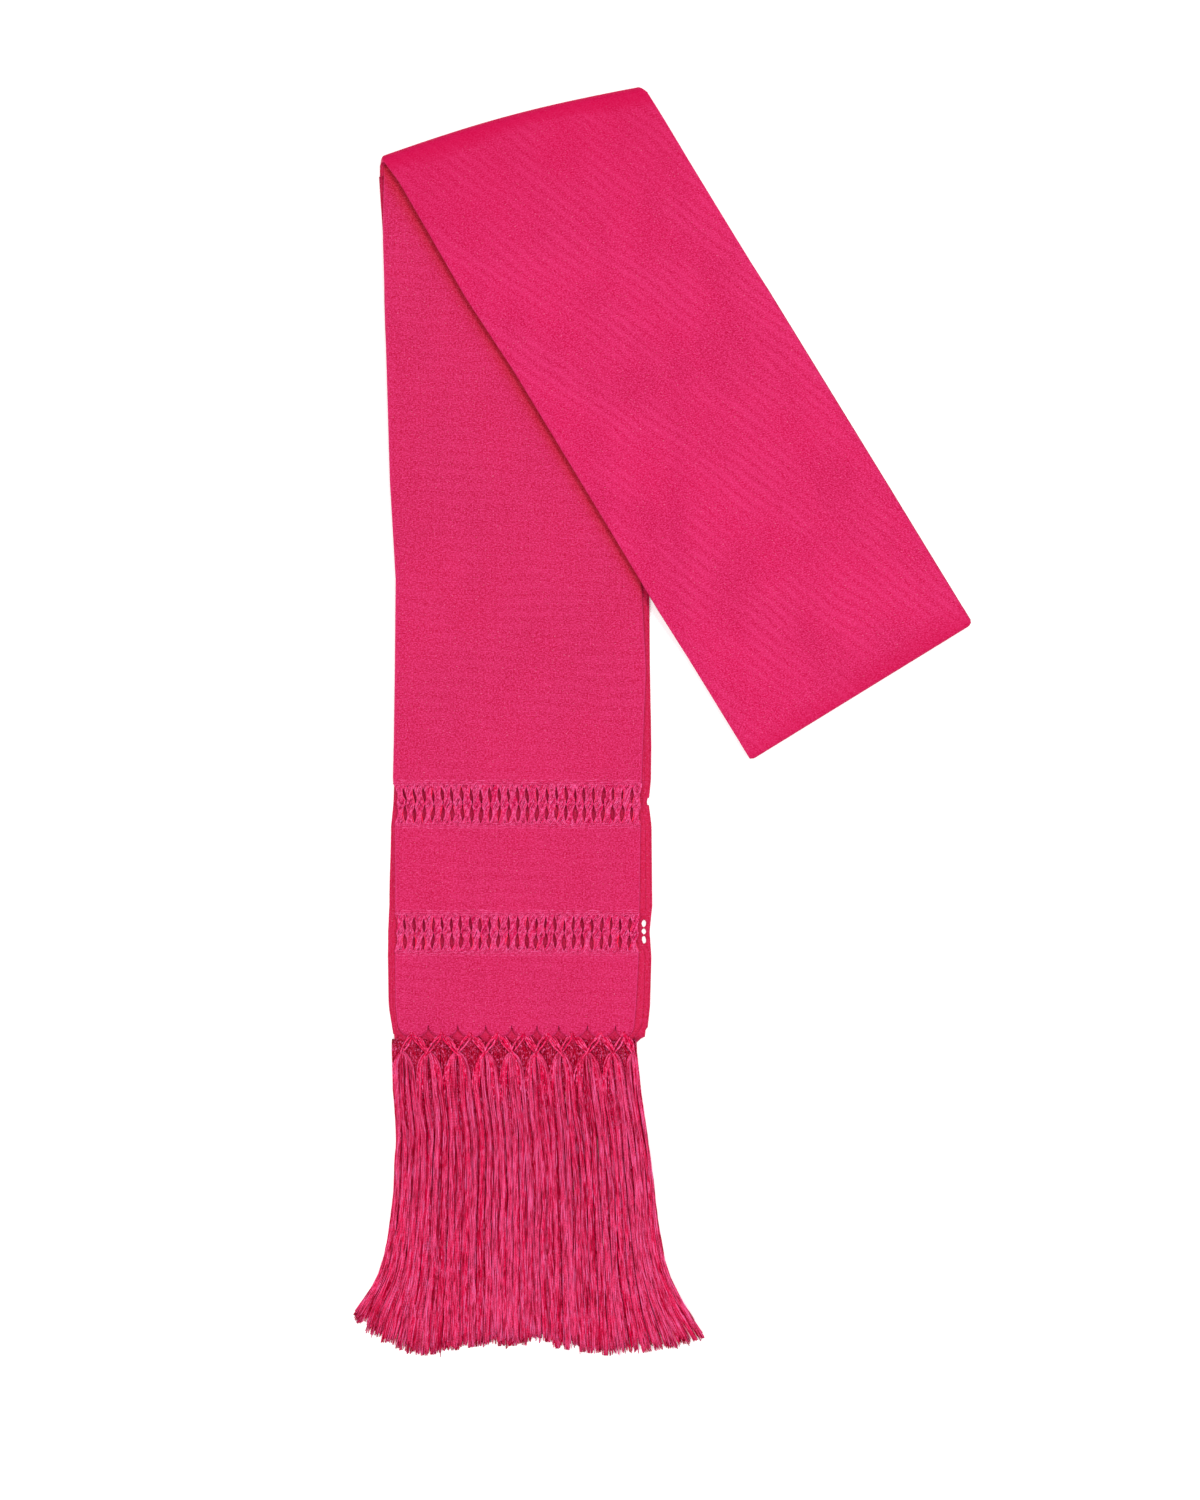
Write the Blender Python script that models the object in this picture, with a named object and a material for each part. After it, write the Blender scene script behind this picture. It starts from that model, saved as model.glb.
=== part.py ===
"""A rebozo (long woven shawl) folded flat and lying on a table.

The cloth is folded lengthwise into a band, doubled end to end, and turned over once more at a slanted
crease. The straight leg runs down (-Y) to its openwork, scalloped end and knotted fringe. The slanted leg
lies on it, points down to the right and steps down to the table past the straight leg's edge.
Origin: on the table, under the middle of the shawl's outline. +Z is up.
"""
import math
import random

import bmesh
import bpy
from mathutils import Vector

# Sizes are in millimetres and degrees; MM turns them into Blender's metres
MM = 0.001

# Thicknesses, from the table up
WALL = 1.0
SEAM = 0.3
STACK = 4.3
LEG = STACK + SEAM + WALL
LIFT = LEG + SEAM
TOP = LIFT + LEG
GROOVE = 0.5

# The slanted crease at the top and the slanted leg that comes out of it
CREASE_LEFT = Vector((-196.7, 393.4))
CREASE_RIGHT = Vector((-13.6, 442.4))
CREASE_BULGE = 4.4
SLANT = math.radians(31.6)
FAR_END = 57.0
FOLD_RADIUS = TOP / 2
END_RADIUS = LEG / 2
TUCK = 14.0
THROAT_RADIUS = (SEAM + WALL + SEAM) / 2
STEP_START = -5.0
STEP_RUN = 21.0
CORNER_RADIUS = 3.5

# How far the slanted leg's left and right edges stray from straight lines. Columns: distance from the
# crease, left edge, right edge
SLANTED_STRAY = (
    (0, 0.2, 1.0),
    (22, 2.2, 1.2),
    (66, 0.9, 1.2),
    (116, -0.6, 1.0),
    (178, 1.2, 0.9),
    (330, 0.0, 0.7),
    (372, -0.6, 0.5),
    (412, 0.1, 0.4),
    (495, 0.0, 0.0),
)

# The straight leg, one row for each level below the crease. Columns: y, left and right edge of the layer
# that shows, left and right edge of the layers under it
STRAIGHT_LEVELS = (
    (336, -194.5, -11.2, -195.0, -8.8),
    (168, -189.7, -13.2, -189.0, -8.6),
    (98, -185.6, -13.7, -184.8, -8.2),
    (35, -186.2, -10.6, -185.4, -7.7),
    (-14, -186.9, -12.6, -186.1, -6.7),
    (-42, -187.5, -13.5, -186.7, -7.0),
    (-58, -184.8, -14.0, -187.6, -8.6),
    (-74, -186.0, -14.3, -189.4, -6.6),
    (-130, -185.9, -15.0, -189.6, -6.1),
    (-148, -185.4, -15.5, -190.8, -7.9),
    (-166, -185.9, -15.6, -191.1, -6.7),
    (-200, -185.7, -17.4, -190.4, -7.6),
    (-222, -182.9, -19.4, -187.2, -10.0),
)
STRAIGHT_TOP_LEFT = (-193.3, -197.2)
STRAIGHT_TOP_RIGHT = (-10.4, -9.4)
STRAIGHT_TOP_SHARES = (0.0, 0.3, 0.5, 0.65, 1.0)

# How far each hidden layer is drawn in from the widest, from the table up. The highest lies under the
# curled edge of the showing layer: on the straight leg it is drawn in from that edge by UNDER_CURL
STRAIGHT_INSETS = (0.6, 0.0, 1.1)
SLANTED_INSETS = (-0.9, 0.5, 0.1, 2.4)
UNDER_CURL = 2.4
FOLD_INSETS = (2.8, 2.2, 2.2, 2.8)
FOLD_RINGS = 3
CREASE_STEPS = 8
END_STEPS = 5
STACK_TRIM = 1.6
STACK_TIP = 0.9

# Places across the slanted leg, along its climb to the step, down the step, and along its end on the table
ACROSS_SHARES = (0.12, 0.3, 0.5, 0.65, 0.8, 0.92)
CLIMB_SHARES = (0.1, 0.27, 0.45, 0.72)
STEP_SHARES = (0.0, 0.2, 0.4, 0.6, 0.8, 1.0)
TABLE_SHARES = (0.35, 0.7)

# The curl that rounds the edges of a showing layer. Columns: distance from the edge, drop
CURL = ((0.0, 0.8), (0.7, 0.25), (2.0, 0.0))

# Openwork: two bands of gathered warp bundles with a pair of gaps between each two
BANDS = ((-45.5, -72.1), (-136.5, -161.0))
BUNDLES = 26
GAP_WIDTH = 3.0
GAP_SHARES = (0.3, 0.7)
BRIDGE = 2.2
BUNDLE_STRAY = 0.45

# Openwork gaps that show beside the upper layer, through the right edge of the layers under it.
# Columns: x, y, width, length
EDGE_GAPS = (
    (-8.9, -57.0, 1.6, 5.1),
    (-12.0, -142.4, 2.5, 4.9),
    (-12.0, -147.9, 2.5, 3.9),
    (-11.9, -153.8, 2.5, 5.2),
)
EDGE_GAP_SIDES = 8

# Scallops at the woven end
NOTCHES = (-162.9, -142.2, -122.6, -104.4, -86.7, -71.5, -51.4, -31.6)
SCALLOP_TOP = -212.8
SCALLOP_DEPTH = 9.1
SCALLOP_SIDES = 6
COMB_Y = -208.5
EDGE_DROP = 6.4

# Knotted net under the scallops, and the fringe that hangs from it. The upper and the lower net lie
# half a scallop apart. Each crossing holds STRANDS_ACROSS strands on two levels
NET_TOP = -222.4
NET_VALLEY = -230.5
NET_ARM = 4.2
NET_BOTTOM = -236.5
KNOT_WIDTH = 6.4
STRANDS_ACROSS = 4
STRAND_FILL = 0.84
UPPER_NET_LEVELS = (2.8, 3.85, 4.9)
LOWER_NET_LEVELS = (0.35, 1.4, 2.5)
UPPER_NET_ENDS = (-181.3, -19.4)
LOWER_NET_START = -185.6
LOWER_NET_SHIFT = -1.0

# The fringe's outline. Columns: y, left edge, right edge, outward flare of its two sides
FRINGE_LEVELS = (
    (-245, -187.6, -16.2, 0.0),
    (-290, -187.0, -9.0, 0.0),
    (-383, -188.0, -2.6, 8.0),
    (-420, -193.4, 3.8, 20.8),
    (-441, -196.4, 7.4, 28.0),
)
FLARE_SHARE = 0.22

# Where the strands end. Columns: share of the way across, y
FRINGE_ENDS = (
    (0.0, -425.0),
    (0.14, -441.5),
    (0.32, -434.5),
    (0.5, -434.0),
    (0.55, -427.5),
    (0.62, -436.0),
    (0.82, -441.5),
    (1.0, -428.0),
)
END_STRAY = 1.6
END_TAPER = 0.55

BAND_SEED = 4
FRINGE_SEED = 9

PINK = (0.70, 0.031, 0.125)
DEEP_PINK = (0.50, 0.022, 0.080)
FRINGE_PINK = (0.62, 0.030, 0.105)


# Small helpers

def material(name, colour, roughness):
    made = bpy.data.materials.new(name)
    made.use_nodes = True
    shader = made.node_tree.nodes["Principled BSDF"]
    shader.inputs["Base Color"].default_value = (*colour, 1.0)
    shader.inputs["Roughness"].default_value = roughness
    shader.inputs["Metallic"].default_value = 0.0
    return made


def look_up(table, at, column):
    """Straight-line reading of a table whose first column rises or falls steadily."""
    rows = sorted(table)
    if at <= rows[0][0]:
        return rows[0][column]
    for low, high in zip(rows, rows[1:]):
        if at <= high[0]:
            share = (at - low[0]) / (high[0] - low[0])
            return low[column] + share * (high[column] - low[column])
    return rows[-1][column]


def vertex(bm, x, y, z):
    return bm.verts.new((x * MM, y * MM, z * MM))


def join_rows(bm, upper, lower):
    """Faces between two rows of vertices, both running left to right."""
    if len(upper) == len(lower):
        for a, b, c, d in zip(upper, lower, lower[1:], upper[1:]):
            corners = list(dict.fromkeys((a, b, c, d)))
            bm.faces.new(corners)
        return
    i = j = 0
    while i < len(upper) - 1 or j < len(lower) - 1:
        go_lower = i == len(upper) - 1
        if not go_lower and j < len(lower) - 1:
            go_lower = lower[j + 1].co.x <= upper[i + 1].co.x
        if go_lower:
            bm.faces.new((upper[i], lower[j], lower[j + 1]))
            j += 1
        else:
            bm.faces.new((upper[i], lower[j], upper[i + 1]))
            i += 1


def finish(name, bm, finish_material, wall=None):
    """Turns a bmesh into a named object. With wall, the sheet is thickened away from its normals."""
    mesh = bpy.data.meshes.new(name)
    if wall is None:
        bmesh.ops.recalc_face_normals(bm, faces=bm.faces)
    bm.to_mesh(mesh)
    bm.free()
    mesh.materials.append(finish_material)
    made = bpy.data.objects.new(name, mesh)
    bpy.context.scene.collection.objects.link(made)
    if wall is not None:
        thicken = made.modifiers.new("wall", "SOLIDIFY")
        thicken.thickness = wall * MM
        thicken.offset = -1.0
        thicken.use_even_offset = True
        thicken.use_rim = True
    return made


def curl_drop(distance):
    return look_up(CURL, distance, 1)


# The crease and the slanted leg, as functions of u (0 at the left edge, 1 at the right) and of d, the
# distance along the leg from the crease

def crease_point(u):
    chord = CREASE_RIGHT - CREASE_LEFT
    outward = Vector((-chord.y, chord.x)).normalized()
    return CREASE_LEFT + u * chord + CREASE_BULGE * math.sin(math.pi * u) * outward


def crease_y(x):
    """Height of the crease line above a place on the straight leg."""
    u = (x - CREASE_LEFT.x) / (CREASE_RIGHT.x - CREASE_LEFT.x)
    return crease_point(min(max(u, 0.0), 1.0)).y


def along(point):
    """Distance of a point along the slanted leg's direction, measured from the origin."""
    return point.x * math.sin(SLANT) - point.y * math.cos(SLANT)


def leg_length(u):
    return FAR_END - along(crease_point(u))


def step_distance(u, x):
    """Distance along the slanted leg at which it reaches the line x."""
    return (x - crease_point(u).x) / math.sin(SLANT)


def slanted_vertex(bm, u, d, z, turn):
    """A point of the slanted leg. turn is -1 under the crease, where the cloth still runs straight down,
    and 1 on the slanted leg."""
    heading = SLANT * (1 + turn) / 2
    point = crease_point(u) + d * Vector((math.sin(heading), -math.cos(heading)))
    stray = (1 - u) * look_up(SLANTED_STRAY, d, 1) + u * look_up(SLANTED_STRAY, d, 2)
    point += stray * (1 + turn) / 2 * Vector((math.cos(SLANT), math.sin(SLANT)))
    return vertex(bm, point.x, point.y, z)


def step_height(share):
    """Drop from the straight leg's top to the table, eased at both ends."""
    return LIFT * (1 - share * share * (3 - 2 * share))


def leg_stations(u, start):
    """Distances along the slanted leg and the height of its underside there."""
    step_start = step_distance(u, STEP_START)
    stations = []
    for share in CLIMB_SHARES:
        stations.append((start + share * (step_start - start), LIFT))
    for share in STEP_SHARES:
        stations.append((step_distance(u, STEP_START + share * STEP_RUN), step_height(share)))
    step_end = stations[-1][0]
    for share in TABLE_SHARES:
        stations.append((step_end + share * (leg_length(u) - TUCK - step_end), 0.0))
    return stations


def arc(steps, first, last):
    """Angles from first to last, ends included, in degrees."""
    return [math.radians(first + (last - first) * i / steps) for i in range(steps + 1)]


def corner_trim(distance):
    """How far a rounded corner of the outline falls short of the square one."""
    if distance >= CORNER_RADIUS:
        return 0.0
    return CORNER_RADIUS - math.sqrt(CORNER_RADIUS ** 2 - (CORNER_RADIUS - distance) ** 2)


def end_trim(trim):
    """The trim of a corner at the far end, kept to a share of the small fold there."""
    return min(trim, 0.25 * END_RADIUS)


# Slanted leg: the layer that shows

def slanted_path(u, trim):
    """The showing layer's outer line, from under the crease to under the far end: d, z and turn."""
    path = [(TUCK, 0.0, -1.0)]
    for angle in arc(CREASE_STEPS, -90, 90):
        d = FOLD_RADIUS - (FOLD_RADIUS - trim) * math.cos(angle)
        path.append((d, FOLD_RADIUS + FOLD_RADIUS * math.sin(angle), math.sin(angle)))
    for d, base in leg_stations(u, FOLD_RADIUS):
        path.append((d, base + LEG, 1.0))
    centre = leg_length(u) - END_RADIUS
    end_reach = END_RADIUS - end_trim(trim)
    for angle in arc(END_STEPS, 90, -90):
        d = centre + end_reach * math.cos(angle)
        path.append((d, END_RADIUS + END_RADIUS * math.sin(angle), 1.0))
    path.append((leg_length(u) - TUCK, 0.0, 1.0))
    return path


def inward(path, i):
    """Unit direction from the outer line into the cloth, in the d and z plane."""
    before = path[max(i - 1, 0)]
    after = path[min(i + 1, len(path) - 1)]
    run = Vector((after[0] - before[0], after[1] - before[1])).normalized()
    return Vector((run.y, -run.x))


def make_slanted_panel(finish_material):
    bm = bmesh.new()
    crease_length = (CREASE_RIGHT - CREASE_LEFT).length
    columns = [(distance / crease_length, distance) for distance, _ in CURL]
    columns += [(share, crease_length / 2) for share in ACROSS_SHARES]
    columns += [(1 - distance / crease_length, distance) for distance, _ in reversed(CURL)]
    grid = []
    for u, distance in columns:
        path = slanted_path(u, corner_trim(distance))
        line = []
        for i, (d, z, turn) in enumerate(path):
            shift = inward(path, i) * curl_drop(distance)
            line.append(slanted_vertex(bm, u, d + shift.x, z + shift.y, turn))
        grid.append(line)
    for left, right in zip(grid, grid[1:]):
        for a, b, c, d in zip(left, left[1:], right[1:], right):
            bm.faces.new((a, b, c, d))
    finish("slanted_panel", bm, finish_material, WALL)


# Layered solids: the hidden layers, a ridge on both edges for each

def layered_ring(edge_point, inner_point, inner, left_insets, right_insets):
    """One section of a stack. edge_point(side, inset, height) and inner_point(entry, height) give its
    vertices, with height from 0 at the underside to 1. The insets say how far each layer is drawn in,
    from the lowest up. Returns left edge, top row, right edge and bottom row."""
    edges = []
    for side, insets in enumerate((left_insets, right_insets)):
        count = len(insets)
        edge = [edge_point(side, GROOVE + insets[0], 0.0)]
        for k, inset in enumerate(insets):
            edge.append(edge_point(side, inset, (k + 0.5) / count))
            deeper = max(inset, insets[min(k + 1, count - 1)]) + GROOVE
            edge.append(edge_point(side, deeper, (k + 1) / count))
        edges.append(edge)
    left, right = edges
    top = [left[-1], *[inner_point(entry, 1.0) for entry in inner], right[-1]]
    bottom = [left[0], *[inner_point(entry, 0.0) for entry in inner], right[0]]
    return left, top, right, bottom


def join_rings(bm, ring, following):
    for row, next_row in zip(ring, following):
        join_rows(bm, row, next_row)


def cap_ring(bm, ring):
    left, top, right, bottom = ring
    join_rows(bm, top[1:-1], bottom[1:-1])
    bm.faces.new((*left, top[1], bottom[1]))
    bm.faces.new((*right, top[-2], bottom[-2]))


# Slanted leg: the layers under and inside it

def slanted_stack_path(u, trim):
    """Pairs of inner and outer points (d, z, turn), from under the crease to inside the far fold."""
    clear = WALL + SEAM
    outer_radius = FOLD_RADIUS - clear
    throat = FOLD_RADIUS + THROAT_RADIUS
    throat_z = STACK + THROAT_RADIUS
    pairs = [((TUCK, STACK, -1.0), (TUCK, clear, -1.0))]
    for angle in arc(CREASE_STEPS, -90, 90):
        turn = math.sin(angle)
        inner = (throat - THROAT_RADIUS * math.cos(angle), throat_z + THROAT_RADIUS * turn, turn)
        outer_d = FOLD_RADIUS - (outer_radius - trim) * math.cos(angle)
        pairs.append((inner, (outer_d, FOLD_RADIUS + outer_radius * turn, turn)))
    for d, base in leg_stations(u, throat):
        pairs.append(((d, base, 1.0), (d, base + STACK, 1.0)))
    length = leg_length(u)
    fold_start = length - TUCK - SEAM
    centre = length - END_RADIUS
    pairs.append(((fold_start, 0.0, 1.0), (fold_start, STACK, 1.0)))
    pairs.append(((fold_start + SEAM / 2, clear, 1.0), (fold_start + SEAM / 2, STACK, 1.0)))
    pairs.append(((centre, clear, 1.0), (centre, STACK, 1.0)))
    end_d = centre + END_RADIUS - clear - SEAM - end_trim(trim)
    pairs.append(((end_d, clear + STACK_TIP, 1.0), (end_d, STACK - STACK_TIP, 1.0)))
    return pairs


def blend(first, second, share):
    return tuple(a + share * (b - a) for a, b in zip(first, second))


def slanted_ring(bm, i, left_insets, right_insets):
    """Ring number i of the slanted stack."""
    crease_length = (CREASE_RIGHT - CREASE_LEFT).length

    def edge_point(side, inset, height):
        u = 1 - inset / crease_length if side else inset / crease_length
        return slanted_vertex(bm, u, *blend(*slanted_stack_path(u, STACK_TRIM)[i], height))

    def inner_point(u, height):
        return slanted_vertex(bm, u, *blend(*slanted_stack_path(u, 0.0)[i], height))

    return layered_ring(edge_point, inner_point, ACROSS_SHARES, left_insets, right_insets)


def make_slanted_stack(finish_material):
    bm = bmesh.new()
    path = slanted_stack_path(0.0, 0.0)
    rings = []
    for i, ((_, base, turn), _) in enumerate(path):
        left_insets = tuple(abs(inset) for inset in SLANTED_INSETS)
        past_step = base == 0.0 and turn == 1.0
        right_insets = SLANTED_INSETS if past_step else left_insets
        if i <= CREASE_STEPS + 1 or i >= len(path) - FOLD_RINGS:
            left_insets = right_insets = FOLD_INSETS
        rings.append(slanted_ring(bm, i, left_insets, right_insets))
    for ring, following in zip(rings, rings[1:]):
        join_rings(bm, ring, following)
    cap_ring(bm, rings[0])
    cap_ring(bm, rings[-1])
    finish("slanted_stack", bm, finish_material)


# Straight leg: the hidden layers

def scallop_line(edges):
    """Points of the scalloped end, left to right, between two edges: x and drop below the notches."""
    points = []
    for left, right in zip(edges, edges[1:]):
        for i in range(SCALLOP_SIDES):
            angle = math.pi * i / SCALLOP_SIDES
            middle = (left + right) / 2
            points.append((middle - (right - left) / 2 * math.cos(angle), SCALLOP_DEPTH * math.sin(angle)))
    points.append((edges[-1], 0.0))
    return points


def straight_ring(bm, ends, inner, showing_left, showing_right):
    """A ring of the straight stack. ends are the (x, y) of its widest layer's edges, inner the points
    between the edges of its highest layer."""
    left_insets = (*STRAIGHT_INSETS, showing_left - ends[0][0] + UNDER_CURL)
    right_insets = (*STRAIGHT_INSETS, ends[1][0] - showing_right + UNDER_CURL)

    def edge_point(side, inset, height):
        x, y = ends[side]
        return vertex(bm, x - inset if side else x + inset, y, height * STACK)

    def inner_point(point, height):
        return vertex(bm, *point, height * STACK)

    return layered_ring(edge_point, inner_point, inner, left_insets, right_insets)


def make_straight_stack(finish_material):
    bm = bmesh.new()
    tuck_drop = TUCK + 2 * SEAM
    left, right = STRAIGHT_TOP_LEFT[1], STRAIGHT_TOP_RIGHT[1]
    xs = [left + share * (right - left) for share in STRAIGHT_TOP_SHARES]
    points = [(x, crease_y(x) - tuck_drop) for x in xs]
    ends = (points[0], points[-1])
    rings = [straight_ring(bm, ends, points[1:-1], STRAIGHT_TOP_LEFT[0], STRAIGHT_TOP_RIGHT[0])]
    for y, showing_left, showing_right, left, right in STRAIGHT_LEVELS:
        if y > COMB_Y:
            rings.append(straight_ring(bm, ((left, y), (right, y)), (), showing_left, showing_right))
    showing_left, showing_right, left, right = (
        look_up(STRAIGHT_LEVELS, SCALLOP_TOP, column) for column in (1, 2, 3, 4))
    inner_notches = [(a + b) / 2 for a, b in zip(NOTCHES, NOTCHES[1:])]
    half_scallop = inner_notches[0] - NOTCHES[0]
    scallops = scallop_line([showing_left + UNDER_CURL, NOTCHES[0] - half_scallop, *inner_notches,
                             showing_right - UNDER_CURL])
    edge_y = SCALLOP_TOP - EDGE_DROP
    for y, side_y, depth in ((COMB_Y, COMB_Y, 0.0), (SCALLOP_TOP, edge_y, 1.0)):
        inner = [(x, y - depth * drop) for x, drop in scallops[1:-1]]
        ends = ((left, side_y), (right, side_y))
        rings.append(straight_ring(bm, ends, inner, showing_left, showing_right))
    for ring, following in zip(rings, rings[1:]):
        join_rings(bm, ring, following)
    cap_ring(bm, rings[0])
    cap_ring(bm, rings[-1])
    cut_edge_gaps(finish("straight_stack", bm, finish_material))


def cut_edge_gaps(stack):
    """Cuts the gaps in the edge with upright prisms."""
    bm = bmesh.new()
    for x, y, width, length in EDGE_GAPS:
        turns = [2 * math.pi * (i + 0.5) / EDGE_GAP_SIDES for i in range(EDGE_GAP_SIDES)]
        outline = [(x + width / 2 * math.cos(turn), y + length / 2 * math.sin(turn)) for turn in turns]
        low = [vertex(bm, *point, -WALL) for point in outline]
        high = [vertex(bm, *point, LEG) for point in outline]
        bm.faces.new(low)
        bm.faces.new(high)
        for i in range(EDGE_GAP_SIDES):
            following = (i + 1) % EDGE_GAP_SIDES
            bm.faces.new((low[i], low[following], high[following], high[i]))
    cutter = finish("edge_gap_cutter", bm, stack.data.materials[0])
    cutter.hide_render = True
    cutter.display_type = "WIRE"
    cut = stack.modifiers.new("edge gaps", "BOOLEAN")
    cut.operation = "DIFFERENCE"
    cut.solver = "EXACT"
    cut.object = cutter


# Straight leg: the layer that shows, with its openwork and scallops

def panel_vertex(bm, x, y, left, right):
    return vertex(bm, x, y, LEG - curl_drop(min(x - left, right - x)))


def plain_row(bm, y, left, right):
    """A straight row of the showing layer."""
    xs = [left + distance for distance, _ in CURL]
    xs += [right - distance for distance, _ in reversed(CURL)]
    return [panel_vertex(bm, x, y, left, right) for x in xs]


def throat_row(bm, left, right):
    """The showing layer's top row, flat and parallel to the crease that it is tucked into."""
    drop = FOLD_RADIUS + THROAT_RADIUS + 3 * SEAM
    xs = [left + distance for distance, _ in CURL]
    xs += [right - distance for distance, _ in reversed(CURL)]
    return [vertex(bm, x, crease_y(x) - drop, LEG) for x in xs]


def panel_edges(y):
    return look_up(STRAIGHT_LEVELS, y, 1), look_up(STRAIGHT_LEVELS, y, 2)


def bundle_limits(left, right, strays):
    """Left and right limits of every bundle on a line where the gaps are closed."""
    pitch = (right - left) / BUNDLES
    joints = [left + pitch * (k + 1) + strays[k] for k in range(BUNDLES - 1)]
    return list(zip([left, *joints], [*joints, right]))


def bundle_row(bm, y, strays, gap):
    """A row of vertex lists, one for each bundle. Without a gap, neighbours share a vertex."""
    left, right = panel_edges(y)
    rows = []
    for k, (low, high) in enumerate(bundle_limits(left, right, strays)):
        first = low + (gap / 2 if k else 0.0)
        last = high - (gap / 2 if k < BUNDLES - 1 else 0.0)
        xs = [first, last]
        if k == 0:
            xs = [first + distance for distance, _ in CURL] + [last]
        elif k == BUNDLES - 1:
            xs = [first] + [last - distance for distance, _ in reversed(CURL)]
        edge_left = first if k == 0 else left
        edge_right = last if k == BUNDLES - 1 else right
        row = []
        for i, x in enumerate(xs):
            if i == 0 and k and not gap:
                row.append(rows[-1][-1])
            else:
                row.append(panel_vertex(bm, x, y, edge_left, edge_right))
        rows.append(row)
    return rows


def flatten(bundles):
    return list(dict.fromkeys(v for bundle in bundles for v in bundle))


def join_bundles(bm, upper, lower):
    for a, b in zip(upper, lower):
        join_rows(bm, a, b)


def make_band(bm, above, top, bottom, generator):
    """One openwork band below the row above. Returns the row at its lower side."""
    strays = [generator.uniform(-BUNDLE_STRAY, BUNDLE_STRAY) for _ in range(BUNDLES - 1)]
    middle = (top + bottom) / 2
    row = bundle_row(bm, top, strays, 0.0)
    join_rows(bm, above, flatten(row))
    for start, end in ((top, middle + BRIDGE / 2), (middle - BRIDGE / 2, bottom)):
        if start != top:
            bridge = bundle_row(bm, start, strays, 0.0)
            join_bundles(bm, row, bridge)
            row = bridge
        for share in GAP_SHARES:
            neck = bundle_row(bm, start + share * (end - start), strays, GAP_WIDTH)
            join_bundles(bm, row, neck)
            row = neck
        closed = bundle_row(bm, end, strays, 0.0)
        join_bundles(bm, row, closed)
        row = closed
    return flatten(row)


def make_fringed_panel(finish_material):
    bm = bmesh.new()
    generator = random.Random(BAND_SEED)
    row = throat_row(bm, STRAIGHT_TOP_LEFT[0], STRAIGHT_TOP_RIGHT[0])
    bands = list(BANDS)
    for y, left, right, _, _ in STRAIGHT_LEVELS:
        if bands and y < bands[0][0] - 1:
            row = make_band(bm, row, *bands.pop(0), generator)
        inside_band = any(low - 1 < y < high + 1 for high, low in BANDS)
        if inside_band or y < COMB_Y:
            continue
        following = plain_row(bm, y, left, right)
        join_rows(bm, row, following)
        row = following
    left, right = panel_edges(SCALLOP_TOP)
    line = scallop_line([left, *NOTCHES, right])
    comb = [vertex(bm, x, COMB_Y, LEG) for x, _ in line]
    end = [vertex(bm, x, SCALLOP_TOP - drop, LEG) for x, drop in line]
    join_rows(bm, row, comb)
    join_rows(bm, comb, end)
    finish("fringed_panel", bm, finish_material, WALL)


# Knotted net and fringe

def across_fringe(share, level):
    """The x of a place across the fringe at one of its levels."""
    _, left, right, flare = level
    x = left + share * (right - left)
    if share < FLARE_SHARE:
        x -= flare * (1 - share / FLARE_SHARE) ** 2
    if share > 1 - FLARE_SHARE:
        x += flare * (1 - (1 - share) / FLARE_SHARE) ** 2
    return x


def strand_shares(crossings):
    """The middle and width of every strand, as shares of the fringe. Each crossing's strands hang below
    it and fill the space halfway to the crossings beside it."""
    _, left, right, _ = FRINGE_LEVELS[0]
    middles = [(a + b) / 2 for a, b in zip(crossings, crossings[1:])]
    limits = [0.0, *[(x - left) / (right - left) for x in middles], 1.0]
    shares = []
    for low, high in zip(limits, limits[1:]):
        pitch = (high - low) / STRANDS_ACROSS
        shares += [(low + (i + 0.5) * pitch, pitch) for i in range(STRANDS_ACROSS)]
    return shares


def make_strand(bm, root, share, pitch_share, z_low, z_high, end_y):
    """A strand of four sides that grows out of the four root vertices."""
    ring = root
    levels = [level for level in FRINGE_LEVELS if level[0] > end_y]
    levels.append((end_y, *[look_up(FRINGE_LEVELS, end_y, column) for column in (1, 2, 3)]))
    for i, level in enumerate(levels):
        taper = END_TAPER if i == len(levels) - 1 else 1.0
        reach = pitch_share * STRAND_FILL * taper / 2
        low_x, high_x = across_fringe(share - reach, level), across_fringe(share + reach, level)
        middle, half = (z_low + z_high) / 2, (z_high - z_low) / 2 * taper
        corners = ((low_x, middle - half), (high_x, middle - half),
                   (high_x, middle + half), (low_x, middle + half))
        following = [vertex(bm, x, level[0], z) for x, z in corners]
        for k in range(4):
            bm.faces.new((ring[k], following[k], following[(k + 1) % 4], ring[(k + 1) % 4]))
        ring = following
    bm.faces.new(ring)


def net_column(bm, x, top, bottom, levels):
    low, middle, high = levels
    return (vertex(bm, x, top, low), vertex(bm, x, top, high),
            vertex(bm, x, bottom, low), vertex(bm, x, bottom, middle), vertex(bm, x, bottom, high))


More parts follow.
